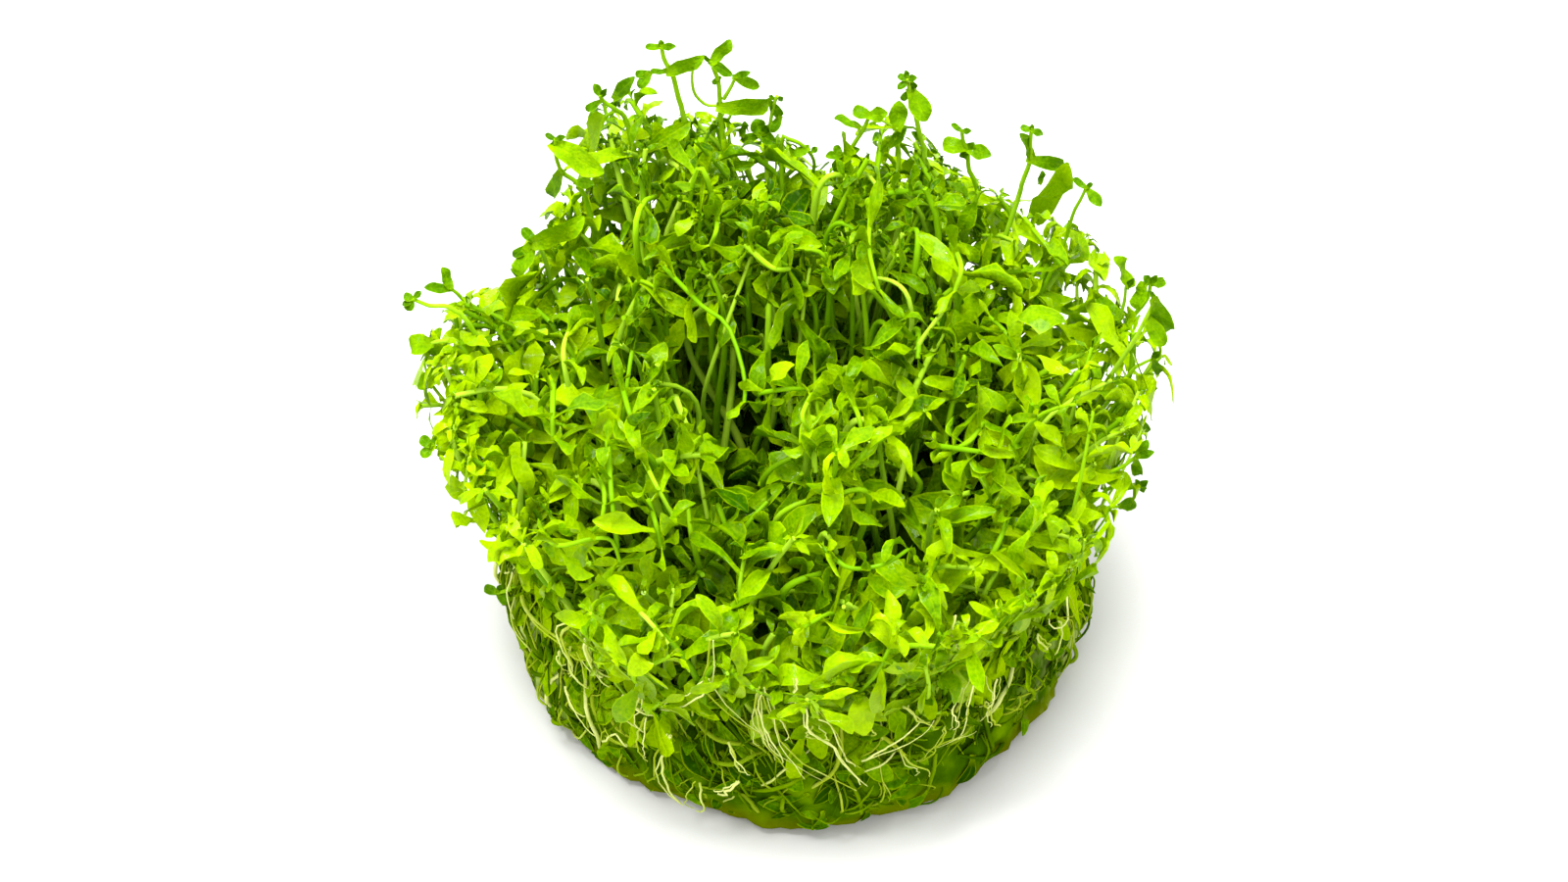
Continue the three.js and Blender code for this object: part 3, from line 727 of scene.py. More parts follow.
def leaves_on(route, dice, pairs, vigour, hooked):
    """The leaves of one stem in opposite pairs, with the hooked share of them curled over. Each is a row:
    its foot, direction and upper side, its length and half width, and then how far it is curled along its
    length, cupped across it, twisted, and drawn out at its foot."""
    steps = np.linalg.norm(np.diff(route, axis=0), axis=1)
    down = np.concatenate([[0], np.cumsum(steps[::-1])])
    back = route[::-1]
    grown = []
    turn = dice.uniform(0, 2 * math.pi)
    at = 0.1 * mm
    for gap, size, rise in pairs:
        if at > down[-1] - 1.5 * mm:
            break
        foot = np.array([np.interp(at, down, back[:, k]) for k in range(3)])
        before = np.array([np.interp(at + 0.5 * mm, down, back[:, k]) for k in range(3)])
        heading = unit(foot - before)
        side = unit(np.cross(heading, [math.cos(turn), math.sin(turn), 0.1]))
        for hand in (1, -1):
            tilt = math.radians(rise + dice.normal(0, 15))
            swing = dice.normal(0, 0.3)
            out = unit(hand * side + swing * np.cross(heading, side))
            along = unit(math.cos(tilt) * out + math.sin(tilt) * heading + [0, 0, 0.25])
            upper = math.cos(tilt) * heading - math.sin(tilt) * out + [0, 0, 0.3]
            upper = unit(upper + dice.normal(0, 0.35) * np.cross(along, upper))
            length = min(size * vigour * dice.uniform(0.8, 1.2), LONGEST) * mm
            curl = dice.normal(1.0, 0.7)
            if dice.random() < hooked:
                curl = dice.uniform(1.7, 2.8)
            half_width = length * dice.uniform(*LEAF_HALF_WIDTH)
            cup, twist, drawn_out = dice.normal(0.5, 0.45), dice.normal(0, 0.5), dice.uniform(0.85, 1.1)
            shape = (length, half_width, curl, cup, twist, drawn_out)
            grown.append((*(foot + 0.1 * mm * out), *along, *upper, *shape))
        turn += math.pi / 2 + dice.normal(0, 0.25)
        at += gap * dice.uniform(0.8, 1.2) * mm
    return grown


def leaf_points(leaves, master=leaf):
    """Points of every leaf: the flat blade is waved, cupped, twisted and curled, then set on its stem."""
    rows = np.array(leaves)
    foot, along, upper = rows[:, 0:3], unit(rows[:, 3:6]), rows[:, 6:9]
    length, half_width, curl, cup, twist, drawn_out = (rows[:, k][:, None] for k in range(9, 15))
    side = unit(np.cross(upper, along))
    upper = np.cross(along, side)
    x, y, z = (master["co"][:, k][None] for k in range(3))
    x = np.maximum(x, 0) ** drawn_out
    curl = np.where(np.abs(curl) < 0.02, 0.02, curl)  # the curl is divided by below
    bend = curl * x
    wide = y * half_width / length
    wave = 0.4 * wide * np.sin(7 * x + 40 * twist) + 0.4 * np.abs(wide) * np.sin(9 * x + 70 * twist)
    lift = np.abs(wide) * np.sin(cup) + z + wave
    wide = wide * np.cos(cup)
    angle = twist * x
    wide, lift = wide * np.cos(angle) - lift * np.sin(angle), wide * np.sin(angle) + lift * np.cos(angle)
    forward = np.sin(bend) / curl + lift * np.sin(bend)
    rise = (np.cos(bend) - 1) / curl + lift * np.cos(bend)
    local = np.stack([forward, wide, rise], -1) * length[..., None]
    return foot[:, None] + np.einsum("mvk,mkj->mvj", local, np.stack([along, side, upper], 1))


LEAF_ROOM = 1.3  # mm kept free round the middle and the tip of each leaf


def roomy(leaves, sure):
    """Which leaves find room beside the sure ones and those before them. A pair's two share theirs."""
    rows = np.array(leaves)
    kept, cells = sure.copy(), {}
    for i in np.argsort(~sure, kind="stable"):
        row = rows[i]
        spots = [(row[:3] + share * row[9] * row[3:6]) / (LEAF_ROOM * mm) for share in (0.5, 0.9)]
        near = [
            other
            for spot in spots
            for cell in cells_round(spot)
            for pair, other in cells.get(cell, [])
            if pair != i // 2 and sum((spot - other) ** 2) < 1
        ]
        kept[i] |= not near
        if kept[i]:
            for spot in spots:
                cells.setdefault(cells_round(spot)[0], []).append((i // 2, spot))
    return kept


stem = shape_of(tube_master("stem_master", 6, STEM_STATIONS), unwrap_tube)
dice = np.random.default_rng(21)
outer = spread_out(seen_points(RAYS, 20), TIP_SPACING)
under = spread_out(seen_points(RAYS, 22), UNDER_SPACING)
crest = spread_out([point for point in seen_points(RAYS, 23) if point[0].z > CREST_FROM], CREST_SPACING)


def side_tips(count, azimuths, seed):
    """Places just inside the cup's wall, from the mat up to the rim, each with the tuft nearest to it."""
    dice = np.random.default_rng(seed)
    found = []
    for azimuth, share in zip(np.radians(dice.uniform(*azimuths, count)), dice.random(count)):
        spot = Vector((RIM_RADIUS * mm * math.cos(azimuth), RIM_RADIUS * mm * math.sin(azimuth), 0))
        top = crown_height(np.array(spot)) - 2 * mm
        spot.z = SIDE_FROM + share * (top - SIDE_FROM)
        heights, radii = zip(*CUP_WALL)
        wall = (np.interp(spot.z / mm, heights, radii) - dice.uniform(0.3, 2.5)) * mm
        spot.x, spot.y = wall * math.cos(azimuth), wall * math.sin(azimuth)
        found.append((spot, owners[crown_skin.find_nearest(spot)[2]]))
    return found


sides = side_tips(SIDE_SHOOTS, (0, 360), 24) + side_tips(LOBE_SHOOTS, LOBE, 26)
tips = outer + under + crest + sides
# How young the shoots are: 1 on the humps, a half on the left side's lobe, and 0 for the grown ones.
young = np.concatenate([np.zeros(len(outer) + len(under)), np.ones(len(crest)), np.zeros(len(sides))])
young[-LOBE_SHOOTS:] = 0.5
count = len(tips)
tip = np.array([hit for hit, _ in tips])
outwards = unit(tip - np.array(CROWN_HEART))
# How deep in mm under the skin they end, which is far down where there is a gap.
sunk = [
    dice.uniform(0.3, 2.6, len(outer)),
    dice.uniform(3, 11, len(under)),
    dice.uniform(0, 5, len(crest)),
    np.zeros(len(sides)),
]
sunk = np.concatenate(sunk)
for x, y, radius in PITS:
    near = np.hypot(tip[:, 0] / mm - x, tip[:, 1] / mm - y) < radius
    sunk = np.where(near, dice.uniform(13, 20, count), sunk)
tip = tip - outwards * sunk[:, None] * mm
# The outermost young shoots stand up to 4 mm higher, as far as the rim lets them.
lift = crown_height(tip) - tip[:, 2] - 1.5 * mm
outermost = np.hypot(tip[:, 0], tip[:, 1]) > 22 * mm
tip[:, 2] += np.where(outermost & (young == 1), np.clip(lift, 0, 4 * mm) * dice.random(count), 0)
tip[:, 2] = np.maximum(np.minimum(tip[:, 2], crown_height(tip) - 0.5 * mm), MAT_TOP + 1.5 * mm)
# Each stem starts in the mat, nearer to the axis than its tip, and rises and leans out as it likes.
reach = np.hypot(tip[:, 0], tip[:, 1])
foot_reach = np.minimum(0.8 * reach, 27 * mm)
foot = tip * (foot_reach / np.maximum(reach, 1 * mm))[:, None]
foot[:, 2] = MAT_TOP - 1.2 * mm
foot[:, :2] += dice.normal(0, 0.9, (count, 2)) * mm
span = np.linalg.norm(tip - foot, axis=1)[:, None]
leave = unit(0.35 * outwards * [1, 1, 0] + [0, 0, 1] + dice.normal(0, 0.4, (count, 3))) * span
arrive = unit(0.4 * outwards + [0, 0, 0.55] + dice.normal(0, 0.5, (count, 3)))
arrive = arrive * span * dice.uniform(0.8, 2.2, count)[:, None]
# A sprawling stem rises to its knee, and from there lies over to its tip. Only long inner ones do.
sprawls = (dice.random(count) < SPRAWLING) & (young == 0)
sprawls &= (span[:, 0] > 14 * mm) & (reach < 26 * mm)
sideways = unit(np.cross(outwards, dice.normal(0, 1, (count, 3))))
sideways = sideways * dice.uniform(6, 11, count)[:, None] * mm
knee = tip - sideways + 1.5 * mm * outwards
leave = np.where(sprawls[:, None], 3 * (knee - foot), leave)
arrive = np.where(sprawls[:, None], 1.5 * sideways - 6 * mm * outwards, arrive)
stem_routes = hermite(foot, tip, leave, arrive, STEM_STATIONS)
bare = sprawls & (dice.random(count) < BARE)
taper = np.linspace(0.42, 0.24, STEM_STATIONS)[None] * mm
stem_points = along_routes(stem, stem_routes, taper * dice.uniform(0.8, 1.3, count)[:, None])

# Living pearlweed leaves: the lit ones a sharp yellow green, the shaded ones a deep grass green, with a
# thin film of water on those of the crown. Low down, by the mat, they show no gloss. The stems are paler.
LOW = 22 * mm  # the height below which a leaf is a low one
LEAF_STOPS = [(0.0, "#2c5800"), (0.35, "#6a9a00"), (0.7, "#96bc00"), (1.0, "#aed002")]
LIGHTEST = 0.84  # the shade that the best lit leaf has
green_light = {"glow": "#b4d800", "share_through": 0.38}
low_leaf_green = leaf_finish("low_pearlweed_leaf", LEAF_STOPS, gloss=0.0, wetness=0.0, **green_light)
leaf_green = leaf_finish("pearlweed_leaf", LEAF_STOPS, gloss=0.03, wetness=0.25, **green_light)
stem_green = thread_finish(
    "pearlweed_stem",
    [(0.1, "#72a806"), (0.5, "#96c80e"), (0.95, "#bce03c")],
    share_through=0.3,
    rough=0.3,
    wetness=0.15,
)

leaves, shades, stem_of, sure = [], [], [], []
for i in np.argsort(sunk):
    # Painted light and shade: the crown is painted lighter towards its top, where the light falls, and at
    # its rim, most of all at both sides, as if lit through. Shoots that end deeper are painted darker, as
    # shade falls between the stems. The humps are darker.
    from_axis = np.hypot(tip[i][0], tip[i][1])
    high = float(np.clip((tip[i][2] - 16 * mm) / (28 * mm), 0, 1))
    edge = float(np.clip((from_axis - 22 * mm) / (9 * mm), 0, 1))
    back = float(np.clip(tip[i][1] / mm / 8 - 1.5, 0, 1) * np.clip(tip[i][2] / mm / 6 - 6.6, 0, 1))
    edge *= 0.15 + 0.17 * abs(tip[i][0]) / from_axis
    vigour = dice.uniform(0.8, 1.2) - 0.3 * young[i]
    grown = leaves_on(stem_routes[i], dice, PAIRS[:2] if bare[i] else PAIRS, vigour, HOOKED)
    leaves += grown
    tips_green = TIP_GREEN if dice.random() < 0.6 else [0.05]
    tone = 0.49 - 0.04 * back + 0.16 * high + edge - 0.018 * sunk[i] - 0.3 * (young[i] == 1)
    tone += dice.normal(0, 0.1)
    for k in range(len(grown)):
        # Pairs further down the stem are darker, partly with age and partly as painted shade deeper in the
        # crown.
        greener = tips_green[k // 2] if k // 2 < len(tips_green) else 0.03 * (k // 2)
        shades.append(tone + dice.normal(0, 0.09) - greener)
        stem_of.append(i)
        sure.append(k < 6 and (i < len(outer) or i >= len(outer) + len(under)))
stem_of = np.array(stem_of)
pitted = in_pit(leaves)
gone = np.bincount(stem_of[pitted], minlength=count) > PIT_STEMS * np.bincount(stem_of, minlength=count)
clear = ~pitted & ~gone[stem_of]
clear &= roomy(leaves, np.array(sure) & clear)
grown_enough = np.bincount(stem_of[clear], minlength=count) >= LEAST_LEAVES
clear &= grown_enough[stem_of]
leaves, shades = np.array(leaves)[clear], np.clip(np.array(shades)[clear], 0, LIGHTEST)
tuft_of = np.array([tips[i][1] for i in stem_of[clear]])
leaf_places = inside_cup(leaf_points(leaves))
low = leaves[:, 2] < LOW
for name in tuft_names:
    mine = [i for i, (_, owner) in enumerate(tips) if owner == name and grown_enough[i]]
    upper, lower = (tuft_of == name) & ~low, (tuft_of == name) & low
    tuft = joined(
        name + "_leafy",
        [
            (leaf, leaf_places[upper], shades[upper], 0),
            (stem, inside_cup(stem_points[mine]), dice.uniform(0.1, 0.9, len(mine)), 1),
            (leaf, leaf_places[lower], shades[lower], 2),
        ],
        [leaf_green, stem_green, low_leaf_green],
    )
    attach(tuft, "root")
    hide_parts(name)

# Skirt: the lowest leaves of the crown. In front they stand out over the wall, elsewhere the cup has
# pressed them down against it. They grow out of stems inside the mat, so each shows as a single blade.
SKIRT_LEAVES = 460
SKIRT_Z = (9, 24)  # mm between which they grow
SKIRT_LENGTH = (3.6, 6.4)  # mm
SKIRT_HALF_WIDTH = (0.13, 0.19)  # shares of the length
FRONT = (1.5 * math.pi, 0.75)  # azimuth and half the breadth, in radians, of the part that stands out
dice = np.random.default_rng(13)
azimuth = 2 * math.pi * (np.arange(SKIRT_LEAVES) + dice.uniform(0, 1, SKIRT_LEAVES)) / SKIRT_LEAVES
spread = np.arange(SKIRT_LEAVES) * 0.618034 % 1  # even steps, so that few leaves lie on each other
height = (SKIRT_Z[0] + (SKIRT_Z[1] - SKIRT_Z[0]) * spread) * mm
free = np.clip(2 - np.abs(azimuth - FRONT[0]) / FRONT[1], 0, 1)[:, None]  # 1 in front, 0 elsewhere
outwards = np.column_stack([np.cos(azimuth), np.sin(azimuth), np.zeros(SKIRT_LEAVES)])
around = np.column_stack([-np.sin(azimuth), np.cos(azimuth), np.zeros(SKIRT_LEAVES)])
up = np.array([0, 0, 1])
way = dice.normal(0, 0.7, (SKIRT_LEAVES, 1)) * around + dice.normal(-0.2, 0.6, (SKIRT_LEAVES, 1)) * up
along = unit(unit(way) + (0.1 + 0.7 * free) * outwards)
upper = unit(outwards + (0.2 + 0.9 * free) * up + dice.normal(0, 0.3, (SKIRT_LEAVES, 3)))
length = dice.uniform(*SKIRT_LENGTH, (SKIRT_LEAVES, 1)) * mm
root_radius = (wall_radius(azimuth, np.full(SKIRT_LEAVES, 8 * mm)) + waist(height))[:, None]
root_radius = root_radius - (1.2 + 1.2 * free) * mm  # they start under the wall, in front deeper still
middle = root_radius * outwards + height[:, None] * up
skirt_leaves = np.column_stack([
    middle - 0.45 * length * (along - np.sum(along * outwards, 1)[:, None] * outwards),
    along,
    upper,
    length,
    length * dice.uniform(*SKIRT_HALF_WIDTH, (SKIRT_LEAVES, 1)),
    dice.normal(0.6, 0.6, (SKIRT_LEAVES, 1)),  # curl
    dice.normal(0.4, 0.4, (SKIRT_LEAVES, 1)),  # cup
    dice.normal(0, 0.4, (SKIRT_LEAVES, 1)),  # twist
    dice.uniform(0.85, 1.1, (SKIRT_LEAVES, 1)),  # how far it is drawn out at its foot
])
skirt_shades = np.clip(dice.normal(0.43, 0.2, SKIRT_LEAVES), 0, 0.9)
skirt = joined("skirt_leaves", [(leaf, leaf_points(skirt_leaves), skirt_shades, 0)], [low_leaf_green])
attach(skirt, "root")

# Bare stems: smooth pale stems that arch over the crown and dip back into it, with a few leaves where
# they come out of it and a pair where they go in. They are what the eye picks out first among the leaves,
# so each is a smooth tube along its own route.
BARE_STEM_RADIUS = (0.24, 0.31)  # mm
# The routes' points, picked by eye on the photograph and turned into millimetres by a scratch script.
BARE_STEMS = [
    [
        (-13.6, 8.1, 45.1), (-11.1, 4.5, 45.5), (-9.6, 2.3, 45.8),
        (-7.1, -0.1, 45.6), (-5.5, -4.9, 43.8), (-5.5, -7.2, 42.5),
    ],
    [(7.1, 14.1, 45.8), (6.9, 9.3, 46.8), (7.4, 6.3, 46.4), (7.9, 5.4, 44.7)],
    [(-4.0, -6.2, 42.7), (-1.3, -7.0, 44.3), (0.9, -5.7, 42.7)],
    [(1.1, -6.4, 42.6), (0.2, -10.0, 43.8), (0.9, -10.3, 41.9)],
    [
        (-24.9, -20.7, 38.3), (-23.4, -22.3, 39.0), (-20.4, -22.1, 39.8),
        (-18.4, -21.8, 39.3), (-17.6, -22.4, 36.6),
    ],
    [(2.2, -21.6, 37.8), (4.5, -23.5, 37.2), (6.9, -23.9, 37.7), (8.8, -23.2, 37.8), (10.5, -21.7, 37.7)],
    [(-24.4, -4.8, 42.9), (-24.3, -9.4, 43.9), (-24.3, -10.8, 41.8)],
    [(-18.9, -11.4, 41.7), (-18.6, -15.7, 42.5), (-18.2, -19.5, 41.1), (-17.8, -21.7, 37.7)],
    [(-20.4, -14.4, 41.1), (-19.1, -17.8, 42.1), (-19.3, -20.3, 40.6), (-20.3, -20.2, 38.6)],
    [(-15.3, -13.5, 41.3), (-14.0, -17.5, 42.4), (-12.3, -19.1, 39.3)],
    [(-17.7, -4.8, 42.9), (-16.8, -9.4, 43.9), (-15.8, -10.8, 41.8)],
    [(-5.4, 10.7, 45.4), (-2.8, 6.7, 46.7), (-1.1, 7.9, 45.0)],
    [(-14.8, -17.6, 40.2), (-14.0, -20.9, 40.6), (-13.6, -21.4, 37.9)],
    [(15.3, 11.1, 45.4), (16.1, 6.7, 46.7), (15.5, 5.4, 44.7)],
    [(22.7, 14.1, 45.8), (24.5, 9.7, 47.1), (26.2, 8.5, 45.1)],
    [(5.3, -14.2, 41.2), (6.5, -13.5, 43.1), (8.1, -11.2, 41.7)],
    [(14.8, -12.7, 41.5), (16.6, -12.6, 43.3), (18.0, -9.4, 42.1)],
    [(13.5, -12.0, 41.6), (16.6, -13.7, 43.1), (19.3, -12.9, 41.4)],
    [(5.0, -6.8, 42.5), (5.7, -10.0, 43.8), (6.1, -10.9, 41.8)],
    [(-8.3, 14.4, 45.9), (-8.4, 11.1, 47.2), (-9.0, 10.8, 45.4)],
]


def smooth_route(points, stations):
    """A route of evenly numbered stations along a Catmull-Rom curve through the points."""
    knots = np.array([points[0], *points, points[-1]], float)
    route = []
    for t in np.linspace(0, len(points) - 1 - 1e-9, stations):
        k, u = int(t), t - int(t)
        a, b, c, d = knots[k : k + 4]
        square, cube = 2 * a - 5 * b + 4 * c - d, 3 * b - a - 3 * c + d
        route.append(0.5 * (2 * b + (c - a) * u + square * u**2 + cube * u**3))
    return np.array(route) * mm


dice = np.random.default_rng(25)
bare_routes = np.array([smooth_route(points, STEM_STATIONS) for points in BARE_STEMS])
bare_routes += 0.3 * mm * unit(bare_routes - np.array(CROWN_HEART))
taper = np.linspace(1.1, 0.8, STEM_STATIONS)[None] * mm
bare_radii = dice.uniform(*BARE_STEM_RADIUS, len(BARE_STEMS))[:, None] * taper
end_leaves = []
for route in bare_routes:
    end_leaves += leaves_on(route[::-1], dice, PAIRS[:4], vigour=0.85, hooked=0.1)
    end_leaves += leaves_on(route, dice, PAIRS[2:3], vigour=0.8, hooked=0.1)
bare_stems = joined(
    "bare_stems",
    [
        (stem, along_routes(stem, bare_routes, bare_radii), dice.uniform(0.1, 0.6, len(BARE_STEMS)), 1),
        (leaf, leaf_points(end_leaves), np.clip(dice.normal(0.5, 0.1, len(end_leaves)), 0, 1), 0),
    ],
    [leaf_green, stem_green],
)
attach(bare_stems, "root")

# Sprigs: single stems that stand clear of the crown, with small dark young leaves in a cluster at the
# tip. Those round the rim are set out leaf by leaf, as the photograph shows each against the white.
SPRIG_PAIR_SPACING = 5.5  # mm
SPRIG_ROOT = 9  # mm that a sprig's stem goes on down into the crown
OWN_ROLL = 0.55  # the share that a blade gets of the turn that is noted for it below
